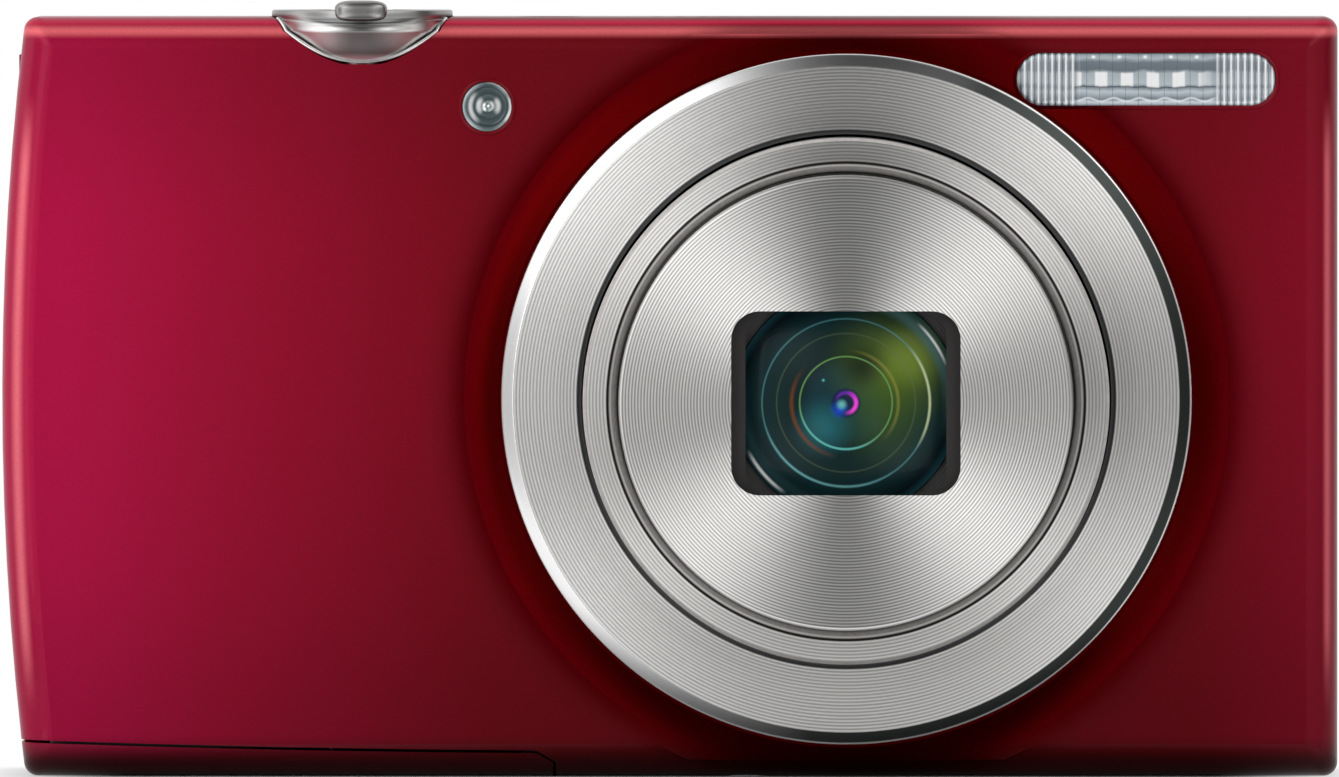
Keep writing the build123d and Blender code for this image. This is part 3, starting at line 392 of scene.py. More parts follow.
def moulded(name, colour, roughness=0.5, grain=3500, depth=0.2, coat=0.0):
    """Moulded plastic with a fine pebbled skin."""
    s = Shader(name, Roughness=roughness, Coat_Weight=coat, Coat_Roughness=0.03)
    cloud = s.noise(grain, 2.0)
    s.put("Base Color", s.mix(cloud, tuple(c * 0.85 for c in colour), colour))
    s.bump(cloud, depth, 0.00002)
    return s.material


def clear_glass(name, tint):
    """Tinted glass that is almost smooth."""
    s = Shader(name, Transmission_Weight=1.0, IOR=1.5)
    cloud = s.noise(2500, 2.0)
    s.put("Base Color", s.mix(cloud, tuple(c * 0.97 for c in tint), tint))
    s.put("Roughness", s.scaled(cloud, 0.02, 0.01))
    return s.material


RED = red_paint()
SPUN = spun_metal("spun_silver", 0.78, 0.38)
SPUN_FACE = spun_metal("spun_silver_fine", 0.6, 0.38, 0.22)
SPUN_RIM = spun_metal("spun_silver_rim", 0.5, 0.38, 0.22, radius_of("front_plate") / MM - 0.2)
BARREL_SIDE = plain_metal("barrel_side", (0.36, 0.355, 0.35), 0.32)
BRIGHT = plain_metal("bright_metal", (0.74, 0.73, 0.72), 0.22)
STEEL = plain_metal("steel", (0.5, 0.5, 0.5), 0.3)
BRASS = plain_metal("brass", (0.6, 0.42, 0.16), 0.3)
FOIL = plain_metal("foil", (0.85, 0.85, 0.85), 0.15)
DARK = moulded("dark_inner", (0.012, 0.010, 0.009), 0.55)
GREY = moulded("grey_plastic", (0.10, 0.10, 0.105), 0.42)
BLACK = moulded("black_gloss", (0.006, 0.006, 0.007), 0.15, 300, 0.02, 1.0)
BOARD = moulded("board", (0.01, 0.07, 0.03), 0.5)
WHITE = moulded("white_plastic", (0.7, 0.7, 0.68), 0.5)
RUBBER = moulded("rubber", (0.02, 0.02, 0.02), 0.8)
CLEAR = clear_glass("clear_glass", (0.86, 0.9, 0.92))

BY_SLOT = {
    "red_shell": RED, "brushed_silver": SPUN_FACE, "bright_metal": BRIGHT, "dark_inner": DARK,
    "clear_glass": CLEAR, "coated_glass": BLACK, "black_gloss": BLACK, "grey_metal": STEEL, "steel": STEEL,
    "brass": BRASS, "board": BOARD, "grey_plastic": GREY, "white_plastic": WHITE, "rubber": RUBBER,
    "display": BLACK, "cell": GREY, "foil": FOIL,
}


def bars(s, u, v):
    """Three short lines, one above the other."""
    rows = s.band(s.size(v), 0.62, 0.16)
    rows = s.larger(rows, s.band(v, 0.0, 0.16))
    return s.times(rows, s.smooth(s.size(u), 0.95, 0.85))


def triangle(s, u, v):
    """Play sign, pointing right for someone behind the camera."""
    slope = s.minus(s.scaled(u, 0.55, 0.5), s.size(v))
    return s.times(s.smooth(slope, 0.0, 0.08), s.smooth(u, 0.85, 0.78))


def disc(s, u, v):
    """Filled round sign."""
    return s.smooth(s.length(u, v), 0.85, 0.75)


def circle(s, u, v):
    """Round outline."""
    return s.band(s.length(u, v), 0.85, 0.2)


def ticks(s, u, v):
    """A small dash near each of the pad's four edges."""
    across, along = s.size(u), s.size(v)
    upright = s.times(s.band(along, 6.2, 0.2), s.smooth(across, 0.75, 0.65))
    flat = s.times(s.band(across, 6.2, 0.2), s.smooth(along, 0.75, 0.65))
    return s.larger(upright, flat)


PALE, RECORD_RED = (0.8, 0.8, 0.8), (0.6, 0.01, 0.01)
KEY_MARKS = {
    "movie_button": (disc, RECORD_RED), "playback_button": (triangle, PALE), "menu_button": (bars, PALE),
    "auto_button": (circle, PALE), "control_pad": (ticks, PALE),
}


def key_finish(node, marks):
    """Satin grey key with a printed sign."""
    s = Shader(node + "_finish", Metallic=0.3, Roughness=0.35)
    sign, colour = marks
    cloud = s.noise(3500, 2.0)
    grey = s.mix(cloud, (0.13, 0.13, 0.135), (0.16, 0.16, 0.165))
    s.put("Base Color", s.mix(sign(s, *s.offset(middle(node), "XZ")), grey, colour))
    s.bump(cloud, 0.08, 0.00001)
    return s.material


def screen_finish():
    """Black glass with the slightly greyer picture area showing through."""
    s = Shader("screen_glass", Roughness=0.08, Specular_IOR_Level=0.12, Coat_Weight=0.12, Coat_Roughness=0.02)
    low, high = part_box("lcd_window")
    u, v = s.offset(middle("lcd_window"), "XZ")
    wide, tall = (high.x - low.x) / 2 / MM - 2.6, (high.z - low.z) / 2 / MM - 2.2
    inside = s.times(s.smooth(s.size(u), wide, wide - 0.15), s.smooth(s.size(v), tall, tall - 0.15))
    picture = s.mix(s.noise(60, 2.0), (0.016, 0.018, 0.021), (0.022, 0.024, 0.028))
    s.put("Base Color", s.mix(inside, (0.004, 0.004, 0.0045), picture))
    s.bump(s.noise(150, 1.0), 0.01, 0.00001)
    return s.material


def dress_nodes():
    """Gives every CAD node the finish of its slot, and its marks to every key."""
    for part in frame["record"]["subparts"]:
        made = frame["nodes"][part["node"]]
        made.data.materials.clear()
        made.data.materials.append(BY_SLOT[part["material_slot"]])
    for node, marks in KEY_MARKS.items():
        frame["nodes"][node].data.materials[0] = key_finish(node, marks)
    frame["nodes"]["lcd_window"].data.materials[0] = screen_finish()
    frame["nodes"]["front_barrel"].data.materials[0] = SPUN_RIM


# ---------------------------------------------------------------- lens
def bevel_finish():
    """Polished bevel of the fixed ring: a painted highlight at the upper left and painted shade at the lower
    right.
    """
    s = Shader("ring_bevel", Metallic=1.0, Roughness=0.25)
    radius, angle, _, _ = s.polar(LENS)
    turned = s.math("COSINE", s.math("RADIANS", s.minus(angle, 165.0)))
    shade = s.ramp(s.scaled(turned, 0.5, 0.5), (0.0, (0.035, 0.04, 0.038)), (0.42, (0.05, 0.055, 0.052)),
                   (0.62, (0.4, 0.4, 0.4)), (0.8, (0.95, 0.95, 0.95)))
    edge = radius_of("lens_ring") / MM
    # painted highlight: a pale line along the bevel's outer edge
    line = s.smooth(radius, edge - 0.16, edge - 0.08)
    s.put("Base Color", s.mix(line, shade, (0.75, 0.75, 0.74)))
    s.bump(s.noise(5000, 2.0), 0.03, 0.00001)
    return s.material


def lens_ring():
    """Fixed spun ring with a bevelled rim."""
    low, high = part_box("lens_ring")
    outer, front = radius_of("lens_ring"), low.y
    inner, foot = radius_of("outer_barrel") + 0.49 * MM, outer - 3.0 * MM
    lip_depth, softened, bevel = 0.5 * MM, 0.06 * MM, 0.78 * MM
    profile = [(inner, front + lip_depth), (inner, front + softened), (inner + softened, front),
               (outer - bevel - 0.08 * MM, front), (outer - bevel, front + 0.03 * MM),
               (outer - 0.05 * MM, front + 0.52 * MM), (outer, front + 0.6 * MM), (outer, high.y),
               (foot, high.y), (foot, front + lip_depth)]
    shape = lathe(profile, LENS, steps=288)
    made = piece("lens_ring_spun", *shape, SPUN, "camera_body", "brushed_silver", ("lens_ring",),
                 sharp=15)
    made.data.materials.append(bevel_finish())
    for face in made.data.polygons:
        if math.hypot(face.center.x - LENS.x, face.center.z - LENS.z) > outer - bevel - softened:
            face.material_index = 1


def cone_finish(inner, outer, rim):
    """Grey cast metal between two radii, darker at its inner edge, with a painted highlight line and a dark
    line near its outer edge, and plain past the rim.
    """
    s = Shader("cast_cone", Roughness=0.5, Specular_IOR_Level=0.3)
    radius = s.polar(LENS)[0]
    grain = s.noise(3000, 3.0)
    cast = s.mix(grain, display(160, 156, 154), display(204, 200, 197))
    cast = s.mix(s.smooth(radius, inner / MM, inner / MM + 0.2, 0.5, 0.0), cast, display(60, 57, 56))
    # painted highlight: a near-white line near the outer edge
    cast = s.mix(s.band(radius, outer / MM - 0.28, 0.12), cast, display(252, 250, 248))
    past_cone = s.smooth(radius, outer / MM - 0.2, outer / MM - 0.14)
    line = s.times(past_cone, s.smooth(radius, rim / MM, rim / MM - 0.02))
    s.put("Base Color", s.mix(line, cast, display(40, 38, 37)))
    s.bump(grain, 0.2, 0.00002)
    return s.material


def outer_barrel():
    """Outer sliding barrel: spun flat at the front, a cast cone inside it and a small chamfer outside."""
    low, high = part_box("outer_barrel")
    outer, front = radius_of("outer_barrel"), low.y
    flat, bore = outer - 1.66 * MM, outer - 1.16 * MM
    throat = radius_of("front_plate") + 0.25 * MM
    chamfer, cone, lining = 0.22 * MM, 0.8 * MM, 1.4 * MM
    profile = [(flat, front), (outer - chamfer, front), (outer, front + chamfer), (outer, high.y),
               (bore, high.y), (bore, front + lining), (throat, front + lining), (throat, front + cone)]
    shape = lathe(profile, LENS, steps=288)
    made = piece("outer_barrel_spun", *shape, SPUN, "outer_barrel", "brushed_silver", ("outer_barrel",),
                 sharp=15)
    made.data.materials.append(BARREL_SIDE)
    made.data.materials.append(cone_finish(throat, flat, outer - chamfer))
    for face in made.data.polygons:
        reach = math.hypot(face.center.x - LENS.x, face.center.z - LENS.z)
        cast = face.center.y < front + cone and not flat < reach < outer - chamfer
        face.material_index = 2 if cast else int(abs(face.normal.y) < 0.8)


def coated_glass():
    """Dark teal glass with painted reflections: the rings, glows and glints of the coated elements behind it.
    """
    s = Shader("coated_glass", Roughness=0.4, Specular_IOR_Level=0.04, Coat_Weight=0.08, Coat_Roughness=0.02)
    radius, angle, u, v = s.polar(LENS)
    colour = s.ramp(s.over(radius, 8.0), (0.0, display(22, 52, 62)), (0.28, display(22, 50, 56)),
                    (0.42, display(16, 36, 38)), (0.62, display(22, 44, 44)), (0.75, display(20, 48, 52)),
                    (0.93, display(10, 26, 30)), (1.0, display(30, 70, 78)))
    # painted reflections and glints of the coated elements seen through the glass, from the back: where, how
    # strongly and in what colour
    painted_reflections = (
        (s.spot(u, v, 3.4, 2.6, 5.6), 0.8, display(82, 104, 22)),
        (s.spot(u, v, 4.6, 3.2, 3.0), 0.55, display(124, 146, 52)),
        (s.spot(u, v, 2.6, -1.2, 4.4), 0.45, display(52, 84, 28)),
        (s.spot(u, v, -1.6, -1.7, 2.6), 0.7, display(34, 104, 112)),
        (s.spot(u, v, 1.2, 2.6, 2.2), 0.8, display(14, 26, 18)),
        (s.glint(radius, angle, 7.3, 0.7, 45, 70), 0.75, display(80, 118, 118)),
        (s.glint(radius, angle, 7.3, 0.7, 215, 60), 0.5, display(48, 84, 88)),
        (s.band(radius, 3.27, 0.1), 0.8, display(104, 150, 84)),
        (s.glint(radius, angle, 3.27, 0.14, 250, 70), 0.7, display(90, 190, 190)),
        (s.band(radius, 4.9, 0.1), 0.35, display(90, 110, 84)),
        (s.band(radius, 5.93, 0.1), 0.65, display(86, 146, 150)),
        (s.glint(radius, angle, 5.93, 0.16, 5, 40), 0.8, display(214, 224, 170)),
        (s.glint(radius, angle, 5.93, 0.16, 250, 60), 0.6, display(130, 200, 204)),
        (s.glint(radius, angle, 3.85, 0.24, 200, 65), 0.6, display(120, 66, 26)),
        (s.glint(radius, angle, 3.7, 0.2, 20, 70), 0.5, display(140, 140, 60)),
        (s.glint(radius, angle, 7.55, 0.16, 34, 15), 1.0, display(246, 250, 250)),
        (s.glint(radius, angle, 7.7, 0.2, 221, 16), 1.0, display(250, 252, 252)),
        (s.smooth(radius, 1.15, 0.9), 0.7, display(14, 22, 66)),
        (s.spot(u, v, -0.45, -0.45, 0.8), 0.9, display(30, 74, 190)),
        (s.glint(radius, angle, 0.72, 0.24, -5, 100), 1.0, display(240, 70, 216)),
        (s.glint(radius, angle, 0.72, 0.2, 90, 90), 0.6, display(120, 40, 190)),
        (s.spot(u, v, -0.3, -0.12, 0.5), 0.85, display(110, 190, 170)),
        (s.spot(u, v, -1.6, 1.6, 0.16), 0.8, display(90, 200, 190)),
    )
    for factor, strength, tint in painted_reflections:
        colour = s.mix(s.times(factor, strength), colour, tint)
    s.put("Base Color", colour)
    s.bump(s.noise(200, 1.0), 0.005, 0.00001)
    return s.material


def front_glass():
    """Domed front glass."""
    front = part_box("front_lens")[0].y
    reach, rise, back = radius_of("front_lens"), 1.45 * MM, front + 3.0 * MM
    profile = dome(reach, rise, front, 24) + [(0.0, back), (reach, back)]
    piece("front_glass", *lathe(profile, LENS, steps=128), coated_glass(), "front_barrel", "coated_glass",
          ("front_lens",), sharp=40)


# ---------------------------------------------------------------- flash and lamp
RIB = 0.49  # mm from one upright rib of the flash lens to the next
CELL = 1.84  # mm from one bright square to the next
RIBBED_FROM = 5.1  # mm from the middle of the flash to its ribbed ends
ROWS_SPAN = 3.8  # mm that the reflector's rows take up from top to bottom


def flash_finish(centre):
    """Reflector bands as painted reflections, square facets and a scalloped line as painted highlights,
    painted glints, and upright ribs with painted highlights and shade.
    """
    s = Shader("flash_glass", Roughness=0.2, Coat_Weight=1.0, Coat_Roughness=0.03)
    u, v = s.offset(centre, "XZ")
    wavy = s.scaled(s.noise(700, 2.0), 0.5, s.plus(v, -0.25))
    # painted reflections: light and dark rows of the reflector behind the lens
    rows = s.ramp(s.scaled(wavy, 1 / ROWS_SPAN, 0.5),
                  (0.0, display(196, 206, 214)), (0.08, display(210, 220, 226)),
                  (0.13, display(120, 132, 140)), (0.27, display(196, 206, 212)),
                  (0.35, display(126, 138, 146)), (0.42, display(186, 196, 202)),
                  (0.62, display(172, 182, 188)), (0.68, display(108, 118, 126)),
                  (0.82, display(116, 126, 134)), (0.9, display(176, 188, 194)),
                  (1.0, display(140, 152, 160)))
    cell = s.math("FRACT", s.scaled(u, 1 / CELL, 20.24))
    beside = s.size(s.minus(cell, 0.5))
    # painted highlights on the square facets, and painted glints below
    square = s.times(s.smooth(beside, 0.28, 0.2), s.smooth(s.size(wavy), 0.58, 0.4))
    square = s.times(square, s.smooth(u, 4.6, 3.2, 0.2, 0.85))
    glint = s.times(s.band(s.math("FRACT", s.plus(cell, 0.3)), 0.5, 0.13), s.band(v, 1.6, 0.2))
    grid = s.band(s.math("FRACT", s.scaled(u, 2 / CELL, 20.1)), 0.5, 0.05)
    line = s.larger(s.times(grid, 0.6), s.band(wavy, -0.52, 0.1))
    wave = s.math("SINE", s.times(u, 2 * math.pi / CELL))
    # painted highlight along a scalloped line
    scallop_highlight = s.band(s.scaled(wave, 0.12, v), -1.45, 0.14)
    inside = s.mix(line, rows, display(84, 94, 102))
    inside = s.mix(s.times(scallop_highlight, 0.8), inside, display(238, 243, 246))
    inside = s.mix(square, inside, (1, 1, 1))
    inside = s.mix(glint, inside, (1, 1, 1))
    rib = s.math("FRACT", s.times(u, 1 / RIB))
    ribbed = s.mix(0.35, rows, display(136, 146, 154))
    # painted highlight and painted shade on each rib
    ribbed = s.mix(s.band(rib, 0.35, 0.26), ribbed, display(250, 252, 253))
    ribbed = s.mix(s.band(rib, 0.8, 0.2), ribbed, display(84, 94, 102))
    ends = s.smooth(s.size(u), RIBBED_FROM - 0.5, RIBBED_FROM + 0.2)
    s.put("Base Color", s.mix(ends, inside, ribbed))
    s.bump(s.noise(900, 2.0), 0.02, 0.00001)
    return s.material


def flash_glass():
    """Clear lens of the flash with real ribs at its ends and shallow cells between."""
    centre = middle("flash_window")
    low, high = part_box("flash_window")
    cap = (high.z - low.z) / 2
    straight = (high.x - low.x) / 2 - cap
    columns, lines = 220, 26
    rib_depth, cell_depth, fade = 0.1 * MM, 0.03 * MM, 0.4 * MM
    edge_drop, edge_width = 0.25 * MM, 0.3 * MM
    verts, faces = [], []
    for i in range(columns + 1):
        x = (straight + cap) * (2 * i / columns - 1)
        over = max(abs(x) - straight, 0.0)
        half = math.sqrt(max(cap**2 - over**2, 1e-12))
        for j in range(lines + 1):
            z = half * math.sin(math.pi / 2 * (2 * j / lines - 1))
            rim = cap - math.hypot(over, z)
            sink = edge_drop * max(0.0, 1 - rim / edge_width) ** 2
            if abs(x) > RIBBED_FROM * MM:
                relief = rib_depth * abs(math.sin(math.pi * x / (RIB * MM)))
            else:
                relief = cell_depth * abs(math.sin(math.pi * x / (CELL * MM)))
            sink += relief * min(1.0, max(rim, 0.0) / fade)
            verts.append(Vector((centre.x + x, low.y + sink, centre.z + z)))
    row = lines + 1
    for i in range(columns):
        for j in range(lines):
            faces.append((i * row + j, (i + 1) * row + j, (i + 1) * row + j + 1, i * row + j + 1))
    edge = list(range(row)) + [i * row + lines for i in range(1, columns + 1)]
    edge += [columns * row + j for j in range(lines - 1, -1, -1)]
    edge += [i * row for i in range(columns - 1, 0, -1)]
    start, count = len(verts), len(edge)
    verts += [Vector((verts[i].x, high.y, verts[i].z)) for i in edge]
    for k in range(count):
        m = (k + 1) % count
        faces.append((edge[k], edge[m], start + m, start + k))
    faces.append(tuple(range(start, start + count)))
    piece("flash_glass", verts, faces, flash_finish(centre), "camera_body", "clear_glass",
          ("flash_window",), sharp=35)


def lamp_glass():
    """Focusing lamp: stepped rings in a clear lens over its reflector, with painted glints on the rings and a
    painted highlight at the middle.
    """
    centre = middle("af_lamp_window")
    s = Shader("lamp_glass", Metallic=0.3, Roughness=0.18, Coat_Weight=1.0, Coat_Roughness=0.02)
    radius, angle, _, _ = s.polar(centre + Vector((0.09 * MM, 0, 0.05 * MM)))
    colour = s.ramp(s.over(radius, 1.81), (0.0, display(60, 74, 76)), (0.18, display(140, 156, 156)),
                    (0.26, display(72, 86, 88)), (0.42, display(104, 118, 120)), (0.5, display(70, 84, 86)),
                    (0.7, display(90, 106, 108)), (0.78, display(58, 70, 74)), (0.9, display(104, 118, 122)),
                    (1.0, display(150, 164, 166)))
    # painted glints on the rings
    for ring, width, facing, spread in ((1.28, 0.26, 185, 62), (0.68, 0.32, 176, 58), (0.7, 0.32, 2, 56),
                                        (0.33, 0.16, 190, 70), (0.34, 0.16, 10, 70), (1.6, 0.2, -8, 40),
                                        (1.7, 0.14, 60, 40)):
        colour = s.mix(s.glint(radius, angle, ring, width, facing, spread), colour, (0.95, 0.97, 0.97))
    # painted highlight at the middle
    s.put("Base Color", s.mix(s.smooth(radius, 0.14, 0.04), colour, (0.95, 0.97, 0.97)))
    s.bump(s.math("SINE", s.times(radius, 20.0)), 0.05, 0.00002)
    low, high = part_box("af_lamp_window")
    reach = radius_of("af_lamp_window")
    steps = ((1.34, 0.03), (1.26, 0.14), (0.74, 0.14), (0.66, 0.05), (0.38, 0.05), (0.3, 0.1), (0.12, 0.06),
             (0.0, 0.04))  # radius and depth of each step, in mm
    profile = [(reach, high.y), (reach, low.y + 0.25 * MM), (reach - 0.07 * MM, low.y + 0.08 * MM),
               (reach - 0.2 * MM, low.y + 0.02 * MM)]
    profile += [(ring * MM, low.y + depth * MM) for ring, depth in steps] + [(0.0, high.y)]
    piece("lamp_glass", *lathe(profile, centre, steps=96), s.material, "camera_body", "clear_glass",
          ("af_lamp_window",), sharp=30)


def lip(name, node, gap):
    """Fine lacquered bead at a gap round a round-ended window."""
    low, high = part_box(node)
    centre = middle(node)
    cap = (high.z - low.z) / 2
    straight = (high.x - low.x) / 2 - cap
    turns, bead, sunk, reach = 96, 0.14 * MM, 0.04 * MM, cap + gap
    path = []
    for k in range(turns + 1):
        angle = 2 * math.pi * k / turns
        side = math.copysign(straight, math.cos(angle)) if straight > 1e-6 else 0.0
        path.append(Vector((centre.x + side + reach * math.cos(angle), FACE_Y + sunk,
                            centre.z + reach * math.sin(angle))))
    piece(name, *tube(path, bead), RED, "camera_body", "red_shell", (), sharp=60)


# ---------------------------------------------------------------- zoom lever
LEVER_REACH = radius_of("zoom_lever")
LEVER_TOP = TOP_Z + 0.5 * MM  # top of the lever's rim band
BOWL = ((0.0, -1.5), (-0.91, -2.55), (-2.45, -3.67))  # mm from the lever's rim: outward, up
BOWL_BOTTOM = LEVER_TOP + BOWL[2][1] * MM
SPRING_TRAVEL = 0.8 * MM  # room below the shutter spring for its way down


def bowl_radius(height):
    """Radius of the bowl at a height, on the circle through its three points."""
    (ax, ay), (bx, by), (cx, cy) = [(LEVER_REACH / MM + u, LEVER_TOP / MM + w) for u, w in BOWL]
    d = 2 * (ax * (by - cy) + bx * (cy - ay) + cx * (ay - by))
    a, b, c = ax**2 + ay**2, bx**2 + by**2, cx**2 + cy**2
    x = (a * (by - cy) + b * (cy - ay) + c * (ay - by)) / d
    y = (a * (cx - bx) + b * (ax - cx) + c * (bx - ax)) / d
    reach = math.hypot(ax - x, ay - y)
    z = height / MM
    if z >= ay:
        return LEVER_REACH
    return (x + math.sqrt(max(reach**2 - (z - y)**2, 0.0))) * MM


def shell_face(height):
    """Y of the body's front at a height, round its top edge."""
    over = max(height - (TOP_Z - EDGE), 0.0)
    return FACE_Y + EDGE - math.sqrt(max(EDGE**2 - over**2, 0.0))


def soft_block(low, high, power, turns=48, rows=24):
    """Block with soft round edges between two corners; a lower power is squarer."""
    def soft(value):
        return math.copysign(abs(value) ** power, value)

    half, mid = (high - low) / 2, (high + low) / 2
    verts, faces = [], []
    for j in range(rows + 1):
        tilt = math.pi * (j / rows - 0.5)
        for k in range(turns):
            turn = 2 * math.pi * k / turns
            verts.append(mid + Vector((half.x * soft(math.cos(tilt)) * soft(math.cos(turn)),
                                       half.y * soft(math.cos(tilt)) * soft(math.sin(turn)),
                                       half.z * soft(math.sin(tilt)))))
    for j in range(rows):
        for k in range(turns):
            m = (k + 1) % turns
            faces.append((j * turns + k, j * turns + m, (j + 1) * turns + m, (j + 1) * turns + k))
    return verts, faces


def lever_finish():
    """Dull metal with painted highlights on both sides of the bowl's hollow and along its foot, and painted
    shade under its rim band.
    """
    s = Shader("lever_metal", Metallic=1.0, Roughness=0.3)
    u, v = s.offset(Vector((LEVER.x, 0, BOWL_BOTTOM)), "XZ")
    # painted highlights on the bowl's sides and foot, painted shade under the rim band
    cheek_highlights = s.times(s.band(s.size(u), 3.4, 3.0), s.band(v, 2.0, 1.9))
    smile = s.scaled(s.times(u, u), -0.045, v)
    shade_under_band = s.times(s.smooth(smile, 2.2, 2.5), s.smooth(v, 3.2, 3.0))
    foot_highlight = s.band(v, 0.15, 0.5)
    cloud = s.noise(900, 4.0)
    grey = s.mix(cloud, (0.25, 0.245, 0.24), (0.29, 0.285, 0.28))
    grey = s.mix(cheek_highlights, grey, (0.98, 0.98, 0.97))
    grey = s.mix(s.times(shade_under_band, 0.8), grey, (0.1, 0.1, 0.1))
    s.put("Base Color", s.mix(foot_highlight, grey, (0.9, 0.9, 0.9)))
    s.bump(s.noise(5000, 2.0), 0.03, 0.00001)
    return s.material


def zoom_lever():
    """Bowl with a narrow rim band, a groove below it and a soft finger nub."""
    groove, spread, sag = LEVER_TOP - 0.62 * MM, 0.6 * MM, 0.34 * MM

    def dip(angle, radius, height):
        """Lowers the groove under the rim band toward the front."""
        in_front = max(0.0, -math.sin(angle)) ** 3
        near_groove = max(0.0, 1 - abs(height - groove) / spread)
        return -sag * in_front * near_groove if radius > 5.5 * MM else 0.0

    rim = LEVER_REACH
    bore = radius_of("shutter_button") + 0.2 * MM
    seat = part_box("shutter_button")[0].z + 1.1 * MM
    spring_room = radius_of("shutter_spring") + 0.2 * MM
    low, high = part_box("zoom_lever")
    top = LEVER_TOP
    outside = [(bore, top - 0.12 * MM), (bore + 0.12 * MM, top), (rim - 0.16 * MM, top),
               (rim - 0.04 * MM, top - 0.05 * MM), (rim, top - 0.16 * MM), (rim, top - 0.54 * MM),
               (rim - 0.05 * MM, top - 0.6 * MM), (rim + 0.01 * MM, top - 0.66 * MM),
               (rim + 0.01 * MM, top - 0.74 * MM)]
    steps, start, hollow = 24, top - 0.8 * MM, 0.3 * MM
    for k in range(1, steps + 1):
        height = start + (BOWL_BOTTOM - start) * k / steps
        outside.append((bowl_radius(height) - hollow * math.sin(math.pi * k / steps) ** 1.2, height))
    stem, shaft = 2.6 * MM, 1.55 * MM
    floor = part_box("shutter_spring")[0].z - SPRING_TRAVEL
    inside = [(stem, BOWL_BOTTOM), (stem, low.z), (shaft, low.z), (shaft, floor), (spring_room, floor),
              (spring_room, seat), (bore, seat)]
    bowl = lathe(outside + inside, LEVER, "Z", 192, shift=dip)
    half, reach = 1.88 * MM, 2.1 * MM
    nub = soft_block(Vector((LEVER.x - half, low.y, top - 0.86 * MM)),
                     Vector((LEVER.x + half, low.y + reach, high.z)), 0.62)
    piece("zoom_bowl", *join(bowl, nub), lever_finish(), "zoom_lever", "bright_metal", ("zoom_lever",),
          sharp=40)


def power_cap():
    """Power button, flush with the top: a dished cap with a fine rim on a thin stem."""
    reach, foot = radius_of("power_button"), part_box("power_button")[0].z + 0.15 * MM
    stem, top, rim = reach * 0.4, TOP_Z - 0.06 * MM, 0.12 * MM
    under = top - 1.1 * MM
    profile = [(stem, foot), (stem, under), (reach, under), (reach, top - rim), (reach - rim, top),
               (reach - 0.35 * MM, top), (reach - 0.5 * MM, top - rim), (reach * 0.5, top - 0.2 * MM),
               (0.0, top - 0.22 * MM), (0.0, foot)]
    shape = lathe(profile, middle("power_button"), "Z", 96)
    piece("power_cap", *shape, BRIGHT, "power_button", "bright_metal", ("power_button",), sharp=30)


def strap_pin():
    """Bar that the wrist strap loops round, drawn inside the body's outline."""
    low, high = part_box("strap_bar")
    radius, parts = (high.x - low.x) / 2, 8
    x, y = high.x + radius, (low.y + high.y) / 2
    path = [Vector((x, y, low.z + (high.z - low.z) * k / parts)) for k in range(parts + 1)]
    piece("strap_pin", *tube(path, radius, 24), STEEL, "camera_body", "steel", ("strap_bar",), sharp=40)


def lever_trim():
    """Bright bead along the edge of the hollow that the bowl sits in."""
    path, steps = [], 60
    bead, proud, end = 0.13 * MM, 0.02 * MM, TOP_Z - 0.12 * MM
    for k in range(-steps, steps + 1):
        rise = math.sin(abs(k) / steps * math.pi / 2) ** 1.6
        height = BOWL_BOTTOM + (end - BOWL_BOTTOM) * rise
        face = shell_face(height) - proud
        half = math.sqrt(max((bowl_radius(height) + proud) ** 2 - (face - LEVER.y) ** 2, 0.0))
        if k == 0 or half > 1e-6:
            path.append(Vector((LEVER.x + math.copysign(half, k), face, height)))
    piece("lever_trim", *tube(path, bead), BRIGHT, "camera_body", "bright_metal", (), sharp=60)


# ---------------------------------------------------------------- camera, light and floor
SHOWN_WIDTH = 95.37 * MM  # how much of the body's front fills the picture from side to side
SHOWN_MIDDLE = 27.64 * MM  # height of the picture's middle


def place_camera():
    """Long lens in front, about a degree above and a little to the right."""
    camera = bpy.data.cameras.new("camera")
    camera.lens = 906
    camera.sensor_width = 36
    camera.clip_end = 100
    made = bpy.data.objects.new("camera", camera)
    bpy.context.scene.collection.objects.link(made)
    azimuth, elevation = math.radians(0.4), math.radians(0.95)
    back = Vector((math.sin(azimuth) * math.cos(elevation), -math.cos(azimuth) * math.cos(elevation),
                   math.sin(elevation)))
    distance = camera.lens / camera.sensor_width * SHOWN_WIDTH
    made.location = Vector((0, FACE_Y, SHOWN_MIDDLE)) + back * distance
    made.rotation_euler = (-back).to_track_quat("-Z", "Y").to_euler()
    bpy.context.scene.camera = made


def area_light(name, place, target, size, power):
    """Rectangular light that faces a target, with its power in watts."""
    light = bpy.data.lights.new(name, "AREA")
    light.shape = "RECTANGLE"
    light.size, light.size_y = size
    light.energy = power
    made = bpy.data.objects.new(name, light)
    bpy.context.scene.collection.objects.link(made)
    made.location = place
    made.rotation_euler = (Vector(target) - Vector(place)).to_track_quat("-Z", "Y").to_euler()
    made.visible_camera = False


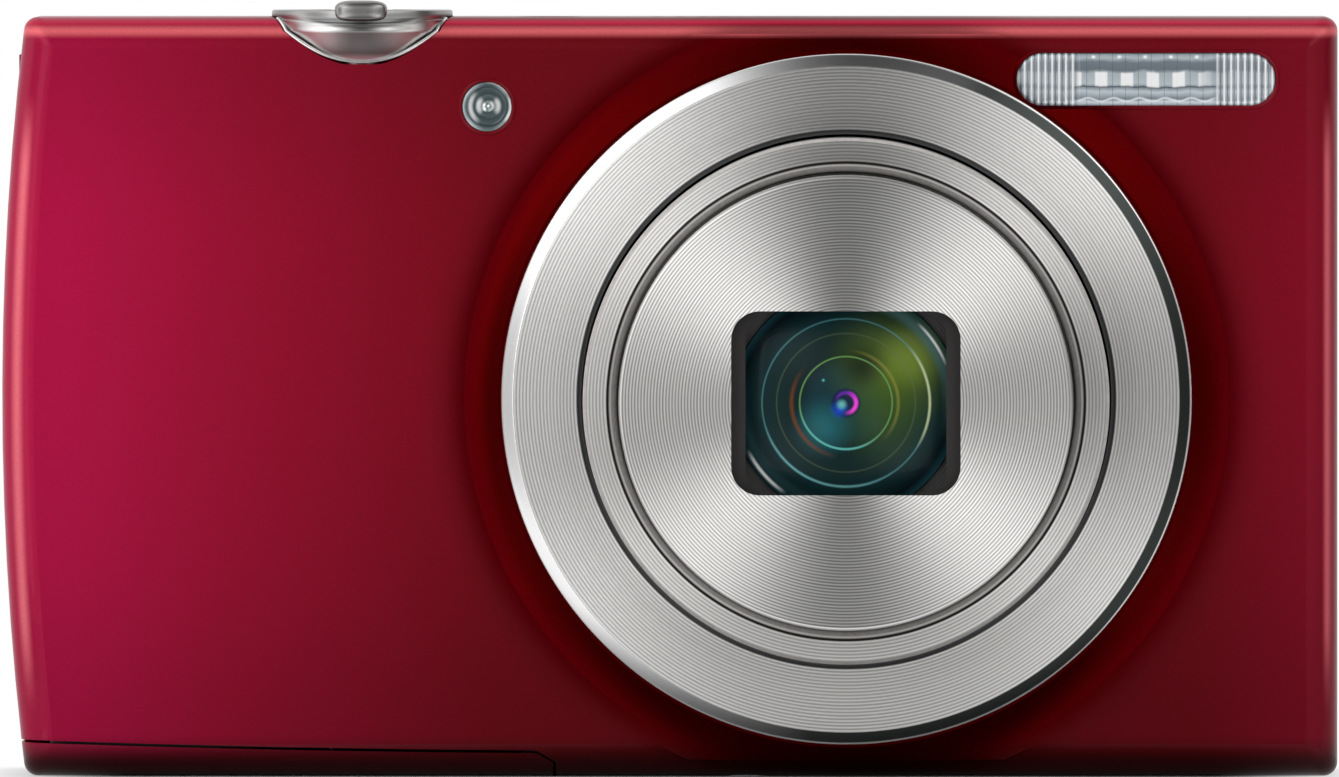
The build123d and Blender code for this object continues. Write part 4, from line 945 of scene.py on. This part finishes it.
def studio():
    """Soft surround: four panels about the lens axis, a bright left and top beside them, white behind."""
    world = bpy.data.worlds.new("studio")
    bpy.context.scene.world = world
    world.use_nodes = True
    world.node_tree.nodes.clear()
    g = Graph(world.node_tree)
    x, y, z = g.split(g.node("ShaderNodeTexCoord").outputs["Generated"])
    toward = g.times(y, -1.0)
    xx, zz = g.times(x, x), g.times(z, z)
    # level is 1 to the sides, -1 above and below, and 0 along the diagonals
    level = g.over(g.minus(xx, zz), g.plus(g.plus(xx, zz), 1e-5))
    diagonal = g.math("POWER", g.minus(1.0, g.times(level, level)), 1.5)
    sideways = g.math("POWER", g.larger(level, 0.0), 2.0)
    lobes = g.plus(g.scaled(diagonal, 2.3, 0.02), g.times(sideways, 0.4))
    # the panels leave out the middle, where the camera stands
    ring = g.times(g.smooth(toward, 0.997, 0.965), lobes)
    left_and_up = g.scaled(x, -0.8, g.times(z, 0.2))
    side = g.scaled(g.smooth(left_and_up, -0.1, 0.75), 1.5, 0.04)
    front_half = g.mix(g.smooth(toward, 0.3, 0.16), ring, side)
    behind = g.smooth(toward, -0.1, -0.5)
    surround = g.node("ShaderNodeBackground")
    g.fill(surround.inputs["Color"], g.mix(0.03, g.mix(behind, front_half, (0.95, 0.95, 0.95)), (1, 1, 1)))
    white = g.node("ShaderNodeBackground")
    white.inputs["Color"].default_value = (1, 1, 1, 1)
    ray = g.node("ShaderNodeLightPath").outputs
    mirrored = g.larger(ray["Is Glossy Ray"], ray["Is Transmission Ray"])
    shown = g.larger(ray["Is Camera Ray"], g.times(mirrored, behind))
    mix = g.node("ShaderNodeMixShader")
    for socket, value in zip(mix.inputs, (shown, surround.outputs[0], white.outputs[0])):
        g.fill(socket, value)
    g.fill(g.node("ShaderNodeOutputWorld").inputs["Surface"], mix.outputs[0])
    area_light("near_left", place=(-0.22, -0.30, 0.09), target=(-0.03, 0, 0.03), size=(0.12, 0.22),
               power=0.12)


def lay_floor():
    """Floor that keeps the real shadow near the object, on a grey pool that is a painted shadow and fades to
    white around it.
    """
    s = Shader("floor", Roughness=0.9, Specular_IOR_Level=0.1)
    ray = s.node("ShaderNodeLightPath").outputs
    seen = s.larger(ray["Is Camera Ray"], s.larger(ray["Is Glossy Ray"], ray["Is Transmission Ray"]))
    pale = s.mix(s.noise(30, 2.0), (0.42, 0.42, 0.42), (0.46, 0.46, 0.46))
    s.put("Base Color", s.mix(seen, (0.3, 0.3, 0.3), pale))
    # painted shadow: plain grey floor inside a rectangle under the object, fading to white around it; all in
    # mm
    half_width, half_depth, fade = 38.0, 10.0, 15.0
    u, v = s.offset(Vector((0, -2 * MM, 0)), "XY")
    beside = s.larger(s.minus(s.size(u), half_width), 0.0)
    before = s.larger(s.minus(s.size(v), half_depth), 0.0)
    far = s.smooth(s.length(beside, before), 0.0, fade)
    glow = s.node("ShaderNodeEmission")
    mix = s.node("ShaderNodeMixShader")
    sockets = (s.times(far, seen), s.surface.outputs[0], glow.outputs[0])
    for socket, value in zip(mix.inputs, sockets):
        s.fill(socket, value)
    s.fill(s.tree.nodes["Material Output"].inputs["Surface"], mix.outputs[0])
    mesh = bpy.data.meshes.new("floor")
    wide, front, rear, sunk = 0.3, -0.045, 0.3, 0.02 * MM
    corners = [(-wide, front, 0), (wide, front, 0), (wide, rear, 0), (-wide, rear, 0)]
    mesh.from_pydata(corners, [], [(0, 1, 2, 3)])
    mesh.materials.append(s.material)
    made = bpy.data.objects.new("floor", mesh)
    made.location.z = -sunk
    bpy.context.scene.collection.objects.link(made)


dress_nodes()
lens_ring()
outer_barrel()
front_glass()
flash_glass()
lamp_glass()
lip("flash_lip", "flash_window", 0.12 * MM)
lip("lamp_lip", "af_lamp_window", 0.1 * MM)
zoom_lever()
lever_trim()
power_cap()
strap_pin()
place_camera()
studio()
lay_floor()
bpy.context.scene.view_settings.view_transform = "Standard"
